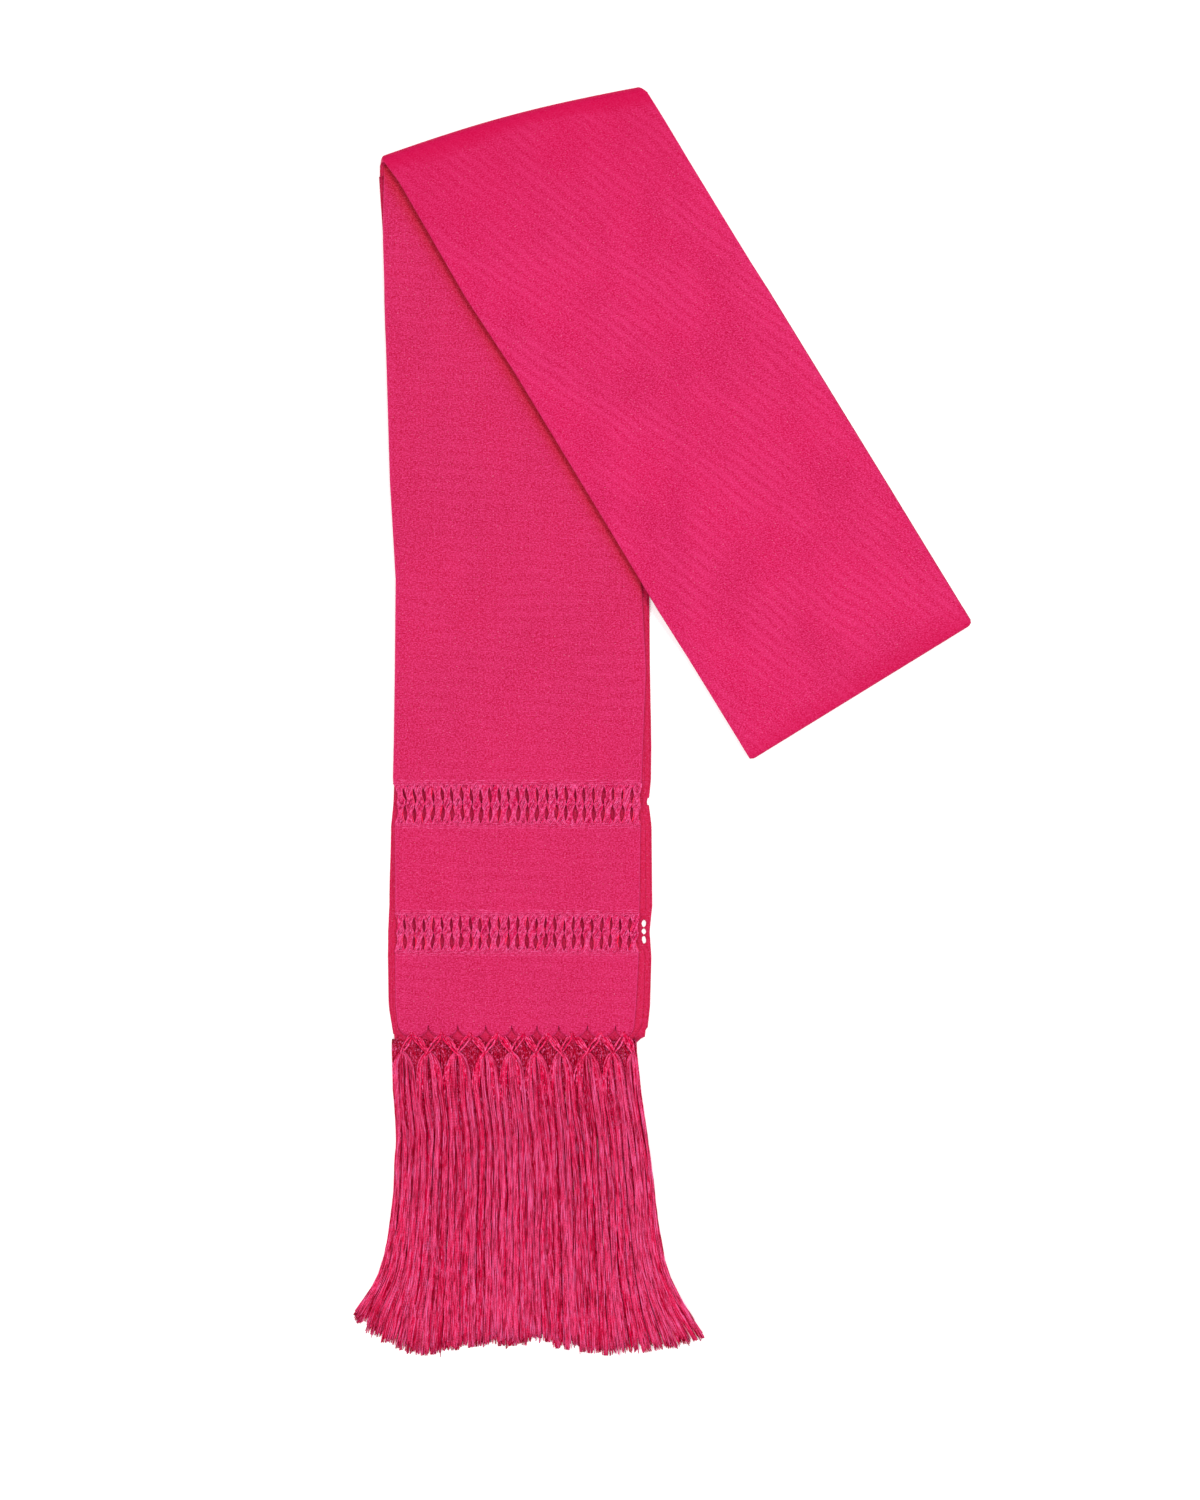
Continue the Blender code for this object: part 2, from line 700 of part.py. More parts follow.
def make_fringe(name, tips, crossings, levels, generator, finish_material):
    """A zigzag strip of knotted arms, between tips at the scallops and crossings below them, with
    strands on two levels hanging from each crossing."""
    bm = bmesh.new()
    columns = []
    roots = []
    knot_lines = [KNOT_WIDTH * (i / STRANDS_ACROSS - 0.5) for i in range(STRANDS_ACROSS + 1)]
    for number, crossing in enumerate(crossings):
        for i, offset in enumerate(knot_lines):
            if i:
                roots.append(len(columns) - 1)
            columns.append(net_column(bm, crossing + offset, NET_VALLEY, NET_BOTTOM, levels))
        if number < len(tips):
            columns.append(net_column(bm, tips[number], NET_TOP, NET_TOP - NET_ARM, levels))
    shares = strand_shares(crossings)
    for i, (left, right) in enumerate(zip(columns, columns[1:])):
        bm.faces.new((left[1], left[4], right[4], right[1]))
        bm.faces.new((left[0], right[0], right[2], left[2]))
        bm.faces.new((left[0], left[1], right[1], right[0]))
        halves = ((left[2], right[2], right[3], left[3]), (left[3], right[3], right[4], left[4]))
        if i not in roots:
            for half in halves:
                bm.faces.new(half)
            continue
        share, pitch_share = shares[roots.index(i)]
        for half, z_low, z_high in zip(halves, levels, levels[1:]):
            end_y = look_up(FRINGE_ENDS, share, 1) + generator.uniform(0, END_STRAY)
            make_strand(bm, list(half), share, pitch_share, z_low + SEAM / 2, z_high - SEAM / 2, end_y)
    for end in (columns[0], columns[-1]):
        bm.faces.new((end[0], end[2], end[3], end[4], end[1]))
    finish(name, bm, finish_material)


def make_fringes(finish_material):
    generator = random.Random(FRINGE_SEED)
    panel_left, panel_right = panel_edges(SCALLOP_TOP)
    edges = [panel_left, *NOTCHES, panel_right]
    tips = [(a + b) / 2 for a, b in zip(edges, edges[1:])]
    between = [(a + b) / 2 for a, b in zip(tips, tips[1:])]
    upper_crossings = [UPPER_NET_ENDS[0], *between, UPPER_NET_ENDS[1]]
    make_fringe("upper_fringe", tips, upper_crossings, UPPER_NET_LEVELS, generator, finish_material)
    lower_crossings = [LOWER_NET_START, *[tip + LOWER_NET_SHIFT for tip in tips]]
    lower_tips = [(a + b) / 2 for a, b in zip(lower_crossings, lower_crossings[1:])]
    make_fringe("lower_fringe", lower_tips, lower_crossings, LOWER_NET_LEVELS, generator, finish_material)


def main():
    for old in list(bpy.data.objects):
        bpy.data.objects.remove(old, do_unlink=True)
    cloth = material("pink cloth", PINK, 0.6)
    shaded = material("pink cloth in the folds", DEEP_PINK, 0.7)
    yarn = material("pink yarn", FRINGE_PINK, 0.55)
    make_fringed_panel(cloth)
    make_slanted_panel(cloth)
    make_straight_stack(shaded)
    make_slanted_stack(shaded)
    make_fringes(yarn)


main()
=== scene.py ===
"""Dresses a rebozo that lies folded on a table: woven cloth, hidden layers, openwork, knotted net and fringe.

The cloth is folded lengthwise into a band, doubled end to end, and turned over at a slanted crease. +Y is
up the straight leg, away from the fringe, and +Z is up from the table. Lengths inside the functions are in
millimetres, and MM turns them into metres.
"""
import math
import random

import bpy
import numpy as np
from bpy.props import FloatProperty, FloatVectorProperty, IntProperty, PointerProperty
from bpy.types import Operator, Panel, PropertyGroup
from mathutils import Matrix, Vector


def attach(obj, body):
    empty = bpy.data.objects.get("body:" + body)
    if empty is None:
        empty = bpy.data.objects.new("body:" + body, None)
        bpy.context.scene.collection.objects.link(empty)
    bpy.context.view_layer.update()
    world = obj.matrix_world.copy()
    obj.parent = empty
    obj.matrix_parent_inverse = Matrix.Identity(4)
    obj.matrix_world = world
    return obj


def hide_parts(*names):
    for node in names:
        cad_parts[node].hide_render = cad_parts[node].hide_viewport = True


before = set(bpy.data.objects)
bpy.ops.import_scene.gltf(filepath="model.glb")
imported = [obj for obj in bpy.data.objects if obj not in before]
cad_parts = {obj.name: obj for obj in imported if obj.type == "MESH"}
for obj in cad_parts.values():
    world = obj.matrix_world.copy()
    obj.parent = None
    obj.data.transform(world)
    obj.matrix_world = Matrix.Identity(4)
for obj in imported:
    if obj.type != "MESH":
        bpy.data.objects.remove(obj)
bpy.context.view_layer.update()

bl_info = {
    "name": "Folded rebozo",
    "version": (1, 0, 0),
    "blender": (4, 5, 0),
    "location": "3D View > Sidebar > Rebozo",
    "description": "Weaves, folds, knots and lights a folded rebozo",
    "category": "Object",
}

MM = 0.001
BODY = "root"

# Heights, from the table up
WALL = 1.0
SEAM = 0.3
STACK = 4.3
LEG = STACK + SEAM + WALL
LIFT = LEG + SEAM
TOP = LIFT + LEG

# The slanted crease and the slanted leg
CREASE_LEFT = Vector((-196.7, 393.4))
CREASE_RIGHT = Vector((-13.6, 442.4))
CREASE_BULGE = 4.4
SLANT = math.radians(31.6)
FAR_END = 57.0
FOLD_RADIUS = TOP / 2
END_RADIUS = LEG / 2
TUCK = 14.0
THROAT_RADIUS = (SEAM + WALL + SEAM) / 2
STEP_START = -5.0
STEP_RUN = 32.0
CORNER_RADIUS = 3.5

# How far the slanted leg's edges stray from straight lines: distance from the crease, left edge, right edge
SLANTED_STRAY = (
    (0, 0.2, 1.0),
    (22, 2.2, 1.2),
    (66, 0.9, 1.2),
    (116, -0.6, 1.0),
    (178, 1.2, 0.9),
    (330, 0.0, 0.7),
    (372, -0.6, 0.5),
    (412, 0.1, 0.4),
    (495, 0.0, 0.0),
)

# The straight leg: y, left and right edge of the layer that shows, left and right edge of those under it
STRAIGHT_LEVELS = (
    (430, -193.3, -10.4, -197.2, -9.4),
    (380, -193.9, -10.8, -197.3, -9.1),
    (354, -194.3, -11.0, -195.7, -8.9),
    (336, -194.5, -11.2, -195.0, -8.8),
    (168, -189.7, -13.2, -189.0, -8.6),
    (98, -185.6, -13.7, -184.8, -8.2),
    (35, -186.2, -10.6, -185.4, -7.7),
    (-14, -186.9, -12.6, -186.1, -6.7),
    (-42, -187.5, -13.5, -186.7, -7.0),
    (-58, -184.8, -14.0, -187.6, -8.6),
    (-74, -186.0, -14.3, -189.4, -6.6),
    (-130, -185.9, -15.0, -189.6, -6.1),
    (-148, -185.4, -15.5, -190.8, -7.9),
    (-166, -185.9, -15.6, -191.1, -6.7),
    (-200, -185.7, -17.4, -190.4, -7.6),
    (-222, -182.9, -19.4, -187.2, -10.0),
)

# Where the edges of the layer that shows, and of those under it, start in a row of STRAIGHT_LEVELS
SHOWING = 1
BELOW = 3

# The rounding of a folded edge: distance from the edge, drop
CURL = ((0.0, 1.0), (0.25, 0.55), (0.6, 0.28), (1.2, 0.1), (2.0, 0.0))

# Soft troughs and ridges pressed into the cloth by hand. Columns: x, y, direction in degrees from +X,
# half length, half width, height
STRAIGHT_CREASES = (
    (-168, 250, 92, 120, 9, -0.28),
    (-120, 60, 88, 95, 13, 0.22),
    (-64, 20, 95, 80, 10, -0.2),
    (-150, -10, 80, 60, 8, -0.16),
    (-100, -104, 4, 70, 9, 0.18),
    (-52, -112, 96, 24, 7, -0.14),
    (-140, -186, 3, 46, 7, 0.15),
    (-60, -188, 172, 34, 6, -0.14),
    (-110, 150, 30, 60, 12, 0.18),
    (-178, 120, 90, 70, 5, 0.16),
)
SLANTED_CREASES = (
    (-110, 396, 14, 85, 5, -0.3),
    (-70, 384, 13, 90, 7, 0.24),
    (-120, 330, -20, 60, 14, 0.24),
    (-40, 300, -58, 120, 11, -0.26),
    (10, 250, -62, 130, 9, 0.22),
    (-60, 210, -35, 55, 12, -0.2),
    (70, 150, -57, 110, 12, -0.24),
    (130, 60, -60, 70, 9, 0.2),
    (40, 60, -20, 60, 13, 0.22),
    (110, 30, 32, 70, 8, -0.2),
    (150, 70, 31, 50, 6, 0.16),
)

# Openwork: two bands of gathered warp bundles
BANDS = ((-45.5, -72.1), (-136.5, -161.0))
BUNDLES = 26
BUNDLE_STRAY = 0.45
BAND_SEED = 4
BUNDLE_INSET = 1.6
BUNDLE_YARN_RADIUS = 0.47

# A bundle's width over its pitch: full at its ends, knotted in the middle and necked between
BUNDLE_WIDTHS = (
    (0.0, 1.12), (0.08, 1.02), (0.17, 0.78), (0.28, 0.58), (0.38, 0.68), (0.46, 0.94), (0.5, 1.0),
    (0.55, 0.86), (0.64, 0.56), (0.74, 0.48), (0.84, 0.68), (0.93, 1.0), (1.0, 1.14),
)

# A bundle's depth at shares of its length
BUNDLE_DEPTHS = ((0.0, 0.3), (0.12, 0.7), (0.3, 1.4), (0.5, 1.6), (0.7, 1.4), (0.88, 0.7), (1.0, 0.3))

# Raised weft threads beside a band: distance from it, height over the cloth
WEFT_LINES = ((0.5, 0.12), (1.9, 0.1), (3.4, 0.04))
WEFT_RINGS = 90
WEFT_RADIUS = 0.3

# Gaps that show through the right edge of the layers below: x, y, width, length
EDGE_GAPS = (
    (-8.9, -57.0, 1.6, 5.1),
    (-12.0, -142.4, 2.5, 4.9),
    (-12.0, -147.9, 2.5, 3.9),
    (-11.9, -153.8, 2.5, 5.2),
)

# Scalloped end, knotted net and the crossings that the fringe hangs from
NOTCHES = (-162.9, -142.2, -122.6, -104.4, -86.7, -71.5, -51.4, -31.6)
SCALLOP_TOP = -212.8
SCALLOP_DEPTH = 9.1
NET_CROSSING = -232.5
LOWER_CROSSING = -228.5
UPPER_NET_ENDS = (-181.3, -19.4)
LOWER_NET_START = -185.6
LOWER_NET_SHIFT = -1.0

# The fringe: y, the sides of its core, and how far its outer strands flare out past them
FRINGE_LEVELS = (
    (-232, -188.3, -16.8, 0.0, 0.0),
    (-259, -187.4, -14.0, 0.0, 0.0),
    (-290, -184.9, -9.8, 0.0, 0.0),
    (-329, -186.6, -5.4, 0.4, 0.8),
    (-357, -188.4, -4.0, 2.0, 2.6),
    (-385, -190.2, -2.0, 6.5, 6.2),
    (-399, -191.4, -0.6, 12.6, 11.1),
    (-413, -192.6, 0.9, 21.4, 18.0),
    (-441, -195.0, 4.0, 32.0, 34.0),
)
FLARE_SHARE = 0.22

# Where the strands end: share of the way across, y
FRINGE_ENDS = (
    (0.0, -414.0),
    (0.06, -430.0),
    (0.14, -441.5),
    (0.32, -434.5),
    (0.5, -434.0),
    (0.55, -427.5),
    (0.62, -436.0),
    (0.82, -441.5),
    (0.94, -436.0),
    (1.0, -427.0),
)
FRINGE_SEED = 9
TUFT_YARNS = 5

# The straight leg's hidden layers: height, how far the left and the right edge stand in, shift of the
# scallops, how much further the middle reaches
STRAIGHT_LAYERS = (
    (0.55, 0.7, 2.4, 0.5, 6.0),
    (1.5, 0.0, 0.0, 0.0, 2.0),
    (2.45, 1.3, 1.3, 0.5, 0.5),
    (3.4, 2.6, 4.6, 0.0, 0.0),
)

# The slanted leg's hidden layers: how far the left and the right edge stand in
SLANTED_LAYERS = ((1.0, -0.9), (0.4, 0.6), (0.2, 0.2), (2.2, 2.3))

# Half a hidden layer's thickness, its lowest point, and the counts of points in its section
LAYER_HALF = 0.42
LOWEST = 0.05
STRAIGHT_LAYER_COLUMNS = 55
SLANTED_LAYER_COLUMNS = 25
EDGE_STEPS = 5

# Points along a scallop, and sides of the cutter of an edge gap
SCALLOP_POINTS = 8
GAP_SIDES = 9

# Rows of points down the straight leg's layers, closer under the openwork: y, rows down to it
LAYER_ROWS = ((-38, 24), (-80, 16), (-130, 8), (-168, 14))
LAYER_END_ROWS = 9

# Finishes of the weave and twists of the yarns, in the order of their inputs
WEAVE_INPUTS = ("Flecks", "Slubs", "Patches", "Streaks", "Ripple", "Ripple Across", "Ripple Along",
                "Ripple Pitch")
STRAIGHT_FINISH = (1.15, 0.6, 0.4, 0.06, 0.16, 0.06, 1.0, 9.5)
SLANTED_FINISH = (1.1, 0.45, 0.45, 0.08, 0.3, 0.9, 0.44, 8.6)
HIDDEN_FINISH = (0.5, 0.3, 0.3, 0.1, 0.0, 0.9, 0.44, 8.6)
TWIST_INPUTS = ("Ply Pitch", "Speckle", "Speckle Length")
OPENWORK_TWIST = (1.3, 0.7, 2.4)
HIDDEN_OPENWORK_TWIST = (1.3, 0.2, 2.4)
NET_TWIST = (1.5, 0.7, 3.3)
FRINGE_TWIST = (1.9, 0.85, 18.0)

# Width of the pattern round a yarn, and most that a yarn's pattern is moved along it
YARN_MAP_WIDTH = 2.2
PATTERN_SHIFT = 500

# How far from a folded edge the cloth still looks lighter
EDGE_LIGHT_WIDTH = 0.8

# Painted shadow: a darker, redder tint on the straight cloth just beside the slanted leg, standing in for its
# shadow and the light bounced between the two legs
PAINTED_SHADOW_TINT = (0.88, 0.8, 0.42, 1.0)
PAINTED_SHADOW_WIDTH = 5.8

# The camera and the lights, in metres and watts. A light: name, place, width, power
CAMERA_HEIGHT = 3.2
VIEW_HEIGHT = 1.05
LIGHTS = (("key", (0.6, 0.7, 1.75), 0.7, 18.5), ("fill", (-0.7, -0.6, 1.5), 1.4, 13.0))


# What a user would change

def length_property(name, description, default, low, high):
    """A length that a user can change."""
    return FloatProperty(name=name, description=description, unit="LENGTH", precision=5,
                         default=default, min=low, max=high)


def count_property(name, description, default, low, high):
    """A number of yarns or cords that a user can change."""
    return IntProperty(name=name, description=description, default=default, min=low, max=high)


def colour_property(name, description, default):
    """A colour that a user can change."""
    return FloatVectorProperty(name=name, description=description, subtype="COLOR", size=3,
                               min=0.0, max=1.0, default=default)


class RebozoSizes(PropertyGroup):
    """Sizes of the cloth, the openwork and the yarns."""

    cloth_thickness: length_property(
        "Cloth thickness", "Thickness of one showing layer", 0.0006, 0.0002, 0.001)
    thread_pitch: length_property(
        "Thread pitch", "Distance between two warp threads of the weave", 0.00055, 0.0002, 0.002)
    rib_pitch: length_property(
        "Rib pitch", "Distance between two crosswise ribs of the weave", 0.0011, 0.0003, 0.004)
    crease_strength: FloatProperty(
        name="Crease strength", description="How strongly the soft troughs and ridges show",
        default=1.0, min=0.0, max=2.0)
    bundle_yarns: count_property("Yarns in a bundle", "Yarns in one openwork bundle", 12, 6, 16)
    net_cords: count_property("Cords in an arm", "Cords in one arm of the knotted net", 6, 4, 10)
    strand_yarns: count_property("Yarns in a strand", "Yarns in one strand of the fringe", 36, 6, 40)
    yarn_radius: length_property("Yarn radius", "Radius of a fringe yarn", 0.00036, 0.0002, 0.0008)


class RebozoColours(PropertyGroup):
    """Colours of the cloth, the yarns and the table."""

    straight_cloth: colour_property(
        "Straight leg", "Colour of the straight leg's cloth", (0.455, 0.003, 0.0425))
    slanted_cloth: colour_property("Slanted leg", "Colour of the slanted leg's cloth", (0.495, 0.0, 0.050))
    hidden_cloth: colour_property("Hidden layers", "Colour of the layers folded below", (0.48, 0.005, 0.037))
    yarn: colour_property("Yarn", "Colour of the fringe's and the net's yarns", (0.80, 0.002, 0.072))
    openwork: colour_property(
        "Openwork yarn", "Colour of the yarns gathered in the openwork", (0.70, 0.006, 0.098))
    # Partly painted light: the same yarn as the openwork's, given a brighter, redder colour that stands in
    # for light bounced between the layers in the gaps
    openwork_below: colour_property(
        "Yarn below the openwork", "Colour of the yarns seen through the openwork", (0.92, 0.008, 0.065))
    table: colour_property("Table", "Colour of the plain surface", (0.96, 0.96, 0.96))


# Meshes

def table_column(table, at, column):
    """Straight-line reading of a table whose first column rises or falls steadily."""
    rows = sorted(table)
    return np.interp(at, [row[0] for row in rows], [row[column] for row in rows])


def leg_edges(y, first=SHOWING):
    """The x of the straight leg's left and right edge, of the layer that shows or of those under it."""
    return table_column(STRAIGHT_LEVELS, y, first), table_column(STRAIGHT_LEVELS, y, first + 1)


def build_mesh(name, points, faces, uvs=None, marks=None, material=None):
    """An object from points in millimetres and a list of face arrays, each with one number of corners.
    marks are named values, one for each point."""
    mesh = bpy.data.meshes.new(name)
    points = np.asarray(points, dtype=np.float32) * MM
    mesh.vertices.add(len(points))
    mesh.vertices.foreach_set("co", points.ravel())
    faces = [np.asarray(block, dtype=np.int32) for block in faces]
    corners = np.concatenate([block.ravel() for block in faces])
    counts = np.concatenate([np.full(len(block), block.shape[1], dtype=np.int32) for block in faces])
    starts = np.concatenate([[0], np.cumsum(counts)[:-1]]).astype(np.int32)
    mesh.loops.add(len(corners))
    mesh.loops.foreach_set("vertex_index", corners)
    mesh.polygons.add(len(counts))
    mesh.polygons.foreach_set("loop_start", starts)
    mesh.update(calc_edges=True)
    if uvs is not None:
        layer = mesh.uv_layers.new(name="cloth_map")
        per_corner = np.asarray(uvs, dtype=np.float32)[corners] * MM
        layer.data.foreach_set("uv", per_corner.ravel())
    for mark, values in (marks or {}).items():
        attribute = mesh.attributes.new(mark, "FLOAT", "POINT")
        attribute.data.foreach_set("value", np.asarray(values, dtype=np.float32).ravel())
    mesh.validate()
    mesh.shade_smooth()
    if material:
        mesh.materials.append(material)
    made = bpy.data.objects.new(name, mesh)
    bpy.context.scene.collection.objects.link(made)
    return made


def grid_faces(rows, columns, first=0, wrap=False):
    """Quads of a grid of points stored row by row. With wrap, the last column meets the first."""
    index = first + np.arange(rows * columns).reshape(rows, columns)
    if wrap:
        index = np.concatenate([index, index[:, :1]], axis=1)
    return np.stack([index[:-1, :-1], index[1:, :-1], index[1:, 1:], index[:-1, 1:]], -1).reshape(-1, 4)


def end_caps(first, rows, count, columns):
    """Faces that close the two ends of a flattened tube, from its top to its bottom points."""
    caps = []
    for row, flip in ((0, False), (rows - 1, True)):
        start = first + row * count
        bottom_start = start + columns + EDGE_STEPS - 1
        top = start + np.arange(columns)
        bottom = bottom_start + np.arange(columns)[::-1]
        quads = np.stack([top[:-1], top[1:], bottom[1:], bottom[:-1]], -1)
        right_fan = np.arange(start + columns - 1, bottom_start + 1)
        left_fan = np.concatenate([np.arange(bottom_start + columns - 1, start + count), [start]])
        if flip:
            quads, right_fan, left_fan = quads[:, ::-1], right_fan[::-1], left_fan[::-1]
        caps += [quads, right_fan[None], left_fan[None]]
    return caps


class Grids:
    """Grids of points that become one mesh."""

    def __init__(self):
        self.points, self.faces, self.uvs, self.marks = [], [], [], {}

    def add(self, points, uvs, tube_columns=0, **marks):
        """Adds a grid, with its places on the cloth and its marks. With tube_columns, the columns of its top
        side, it is a flattened tube that gets closed."""
        rows, count = points.shape[:2]
        first = sum(len(block) for block in self.points)
        self.faces.append(grid_faces(rows, count, first, wrap=bool(tube_columns)))
        if tube_columns:
            self.faces += end_caps(first, rows, count, tube_columns)
        self.points.append(points.reshape(-1, 3))
        self.uvs.append(uvs.reshape(-1, 2))
        for mark, values in marks.items():
            self.marks.setdefault(mark, []).append(values.ravel())

    def build(self, name, material):
        marks = {mark: np.concatenate(values) for mark, values in self.marks.items()}
        uvs = np.concatenate(self.uvs)
        return build_mesh(name, np.concatenate(self.points), self.faces, uvs, marks, material)


def build_tubes(name, paths, radii, sides, shades, material, along_shift):
    """Many closed yarns in one mesh. paths is (yarns, rings, 3), radii (yarns, rings), and along_shift moves
    each yarn's pattern along it."""
    count, rings, _ = paths.shape
    tangent = np.gradient(paths, axis=1)
    tangent /= np.linalg.norm(tangent, axis=2, keepdims=True)
    side = np.cross(tangent, np.array([0.0, 0.0, 1.0]))
    side /= np.maximum(np.linalg.norm(side, axis=2, keepdims=True), 1e-9)
    lift = np.cross(side, tangent)
    angles = 2 * np.pi * (np.arange(sides) + 0.5) / sides
    offsets = (side[:, :, None, :] * np.cos(angles)[:, None] + lift[:, :, None, :] * np.sin(angles)[:, None])
    points = (paths[:, :, None, :] + offsets * radii[:, :, None, None]).reshape(-1, 3)
    base = grid_faces(rings, sides, wrap=True)[:, ::-1]
    shifts = (np.arange(count) * rings * sides)[:, None, None]
    quads = (base[None] + shifts).reshape(-1, 4)
    first_cap = np.arange(sides)[None, :]
    last_cap = (rings - 1) * sides + np.arange(sides)[::-1][None, :]
    caps = (np.concatenate([first_cap, last_cap])[None] + shifts).reshape(-1, sides)
    lengths = np.linalg.norm(np.diff(paths, axis=1), axis=2)
    along = np.concatenate([np.zeros((count, 1)), np.cumsum(lengths, axis=1)], axis=1) + along_shift[:, None]
    uvs = np.stack([
        np.broadcast_to(np.arange(sides) / sides * YARN_MAP_WIDTH, (count, rings, sides)),
        np.broadcast_to(along[:, :, None], (count, rings, sides))], -1).reshape(-1, 2)
    per_ring = shades if shades.ndim == 2 else np.repeat(shades[:, None], rings, axis=1)
    spread = np.repeat(per_ring.ravel(), sides)
    return build_mesh(name, points, [quads, caps], uvs, {"shade": spread}, material)


def press_creases(table, x, y, strength):
    """Height of the listed troughs and ridges at points of the cloth."""
    height = np.zeros_like(x)
    for cx, cy, direction, half_length, half_width, depth in table:
        turn = math.radians(direction)
        along = (x - cx) * math.cos(turn) + (y - cy) * math.sin(turn)
        across = (y - cy) * math.cos(turn) - (x - cx) * math.sin(turn)
        across = across + 0.06 * half_length * np.sin(along / half_length * 2.1)
        height += depth * np.exp(-(along / half_length) ** 2 - (across / half_width) ** 2)
    return height * strength


def curl_drop(distance):
    """How far the cloth drops at a distance from its folded edge."""
    return np.interp(distance, *zip(*CURL))


def edge_light(distance):
    """How far the cloth at a folded edge catches the light, by its distance from the edge."""
    return np.exp(-(np.asarray(distance) / EDGE_LIGHT_WIDTH) ** 2)


def ramp(value, start, length):
    """Rises from 0 at start to 1 after length."""
    return np.clip((value - start) / length, 0, 1)


def make_thin_cloth(obj, thickness):
    """Gives a single sheet its thickness, below the side that shows."""
    wall = obj.modifiers.new("thickness", "SOLIDIFY")
    wall.thickness = thickness
    wall.offset = -1.0
    wall.use_even_offset = True
    wall.use_rim = True


# The crease and the slanted leg, as functions of u, 0 at the left edge and 1 at the right

def crease_point(u):
    """A place on the crease, which bulges out a little from a straight line."""
    u = float(u)
    chord = CREASE_RIGHT - CREASE_LEFT
    outward = Vector((-chord.y, chord.x)).normalized()
    return CREASE_LEFT + u * chord + CREASE_BULGE * math.sin(math.pi * u) * outward


def crease_y(x):
    """Height of the crease line above a place on the straight leg."""
    u = (x - CREASE_LEFT.x) / (CREASE_RIGHT.x - CREASE_LEFT.x)
    return crease_point(min(max(u, 0.0), 1.0)).y


def leg_length(u):
    """The slanted leg's length, from the crease to its far end."""
    point = crease_point(u)
    return FAR_END - (point.x * math.sin(SLANT) - point.y * math.cos(SLANT))


def step_distance(u, x):
    """Distance along the slanted leg at which it reaches the line x."""
    return (x - crease_point(u).x) / math.sin(SLANT)


def step_height(share):
    """The slanted leg's underside on its way down from the straight leg."""
    return LIFT * (1 - share ** 3 * (share * (share * 6 - 15) + 10))


def slanted_place(u, d, turn):
    """The x and y of the slanted leg at distance d from the crease. turn is -1 under the crease."""
    d, turn = float(d), float(turn)
    heading = SLANT * (1 + turn) / 2
    point = crease_point(u) + d * Vector((math.sin(heading), -math.cos(heading)))
    stray = (1 - u) * table_column(SLANTED_STRAY, d, 1) + u * table_column(SLANTED_STRAY, d, 2)
    return point + float(stray) * (1 + turn) / 2 * Vector((math.cos(SLANT), math.sin(SLANT)))


def leg_stations(u, start, climb, fall, flat):
    """Distances along the slanted leg, and its underside's height: up on the straight leg, down the step
    and flat on the table."""
    step_start = step_distance(u, STEP_START)
    stations = [(start + (step_start - start) * (i + 0.5) / climb, LIFT) for i in range(climb)]
    for i in range(fall + 1):
        share = i / fall
        stations.append((step_distance(u, STEP_START + share * STEP_RUN), step_height(share)))
    step_end = stations[-1][0]
    last = leg_length(u) - TUCK
    stations += [(step_end + (last - step_end) * (i + 1) / (flat + 1), 0.0) for i in range(flat)]
    return stations


def corner_trim(distance):
    """How far a rounded corner of the outline falls short of the square one."""
    if distance >= CORNER_RADIUS:
        return 0.0
    return CORNER_RADIUS - math.sqrt(CORNER_RADIUS ** 2 - (CORNER_RADIUS - distance) ** 2)


def showing_path(u, trim):
    """The slanted leg's showing layer, from under the crease to under the far end: d, z, turn."""
    path = [(TUCK, 0.0, -1.0), ((TUCK + FOLD_RADIUS) / 2, 0.0, -1.0)]
    for i in range(17):
        angle = math.radians(-90 + 180 * i / 16)
        d = FOLD_RADIUS - (FOLD_RADIUS - trim) * math.cos(angle)
        path.append((d, FOLD_RADIUS + FOLD_RADIUS * math.sin(angle), math.sin(angle)))
    path += [(d, base + LEG, 1.0) for d, base in leg_stations(u, FOLD_RADIUS, 54, 16, 52)]
    centre = leg_length(u) - END_RADIUS
    reach = END_RADIUS - min(trim, 0.25 * END_RADIUS)
    for i in range(11):
        angle = math.radians(90 - 180 * i / 10)
        path.append((centre + reach * math.cos(angle), END_RADIUS + END_RADIUS * math.sin(angle), 1.0))
    path += [((centre + leg_length(u) - TUCK) / 2, 0.0, 1.0), (leg_length(u) - TUCK, 0.0, 1.0)]
    return path


def hidden_path(u, trim):
    """The slanted leg's hidden layers: pairs of lowest and highest points (d, z, turn)."""
    clear = WALL + SEAM
    outer_radius = FOLD_RADIUS - clear
    throat = FOLD_RADIUS + THROAT_RADIUS
    throat_z = STACK + THROAT_RADIUS
    pairs = [((TUCK, STACK, -1.0), (TUCK, clear, -1.0))]
    for i in range(13):
        angle = math.radians(-90 + 180 * i / 12)
        turn = math.sin(angle)
        inner = (throat - THROAT_RADIUS * math.cos(angle), throat_z + THROAT_RADIUS * turn, turn)
        outer_d = FOLD_RADIUS - (outer_radius - trim) * math.cos(angle)
        pairs.append((inner, (outer_d, FOLD_RADIUS + outer_radius * turn, turn)))
    pairs += [((d, base, 1.0), (d, base + STACK, 1.0)) for d, base in leg_stations(u, throat, 22, 8, 22)]
    length = leg_length(u)
    fold_start = length - TUCK - SEAM
    centre = length - END_RADIUS
    pairs.append(((fold_start, 0.0, 1.0), (fold_start, STACK, 1.0)))
    pairs.append(((fold_start + 1.5, clear, 1.0), (fold_start + 1.5, STACK, 1.0)))
    pairs.append(((centre, clear, 1.0), (centre, STACK, 1.0)))
    return pairs


# Materials

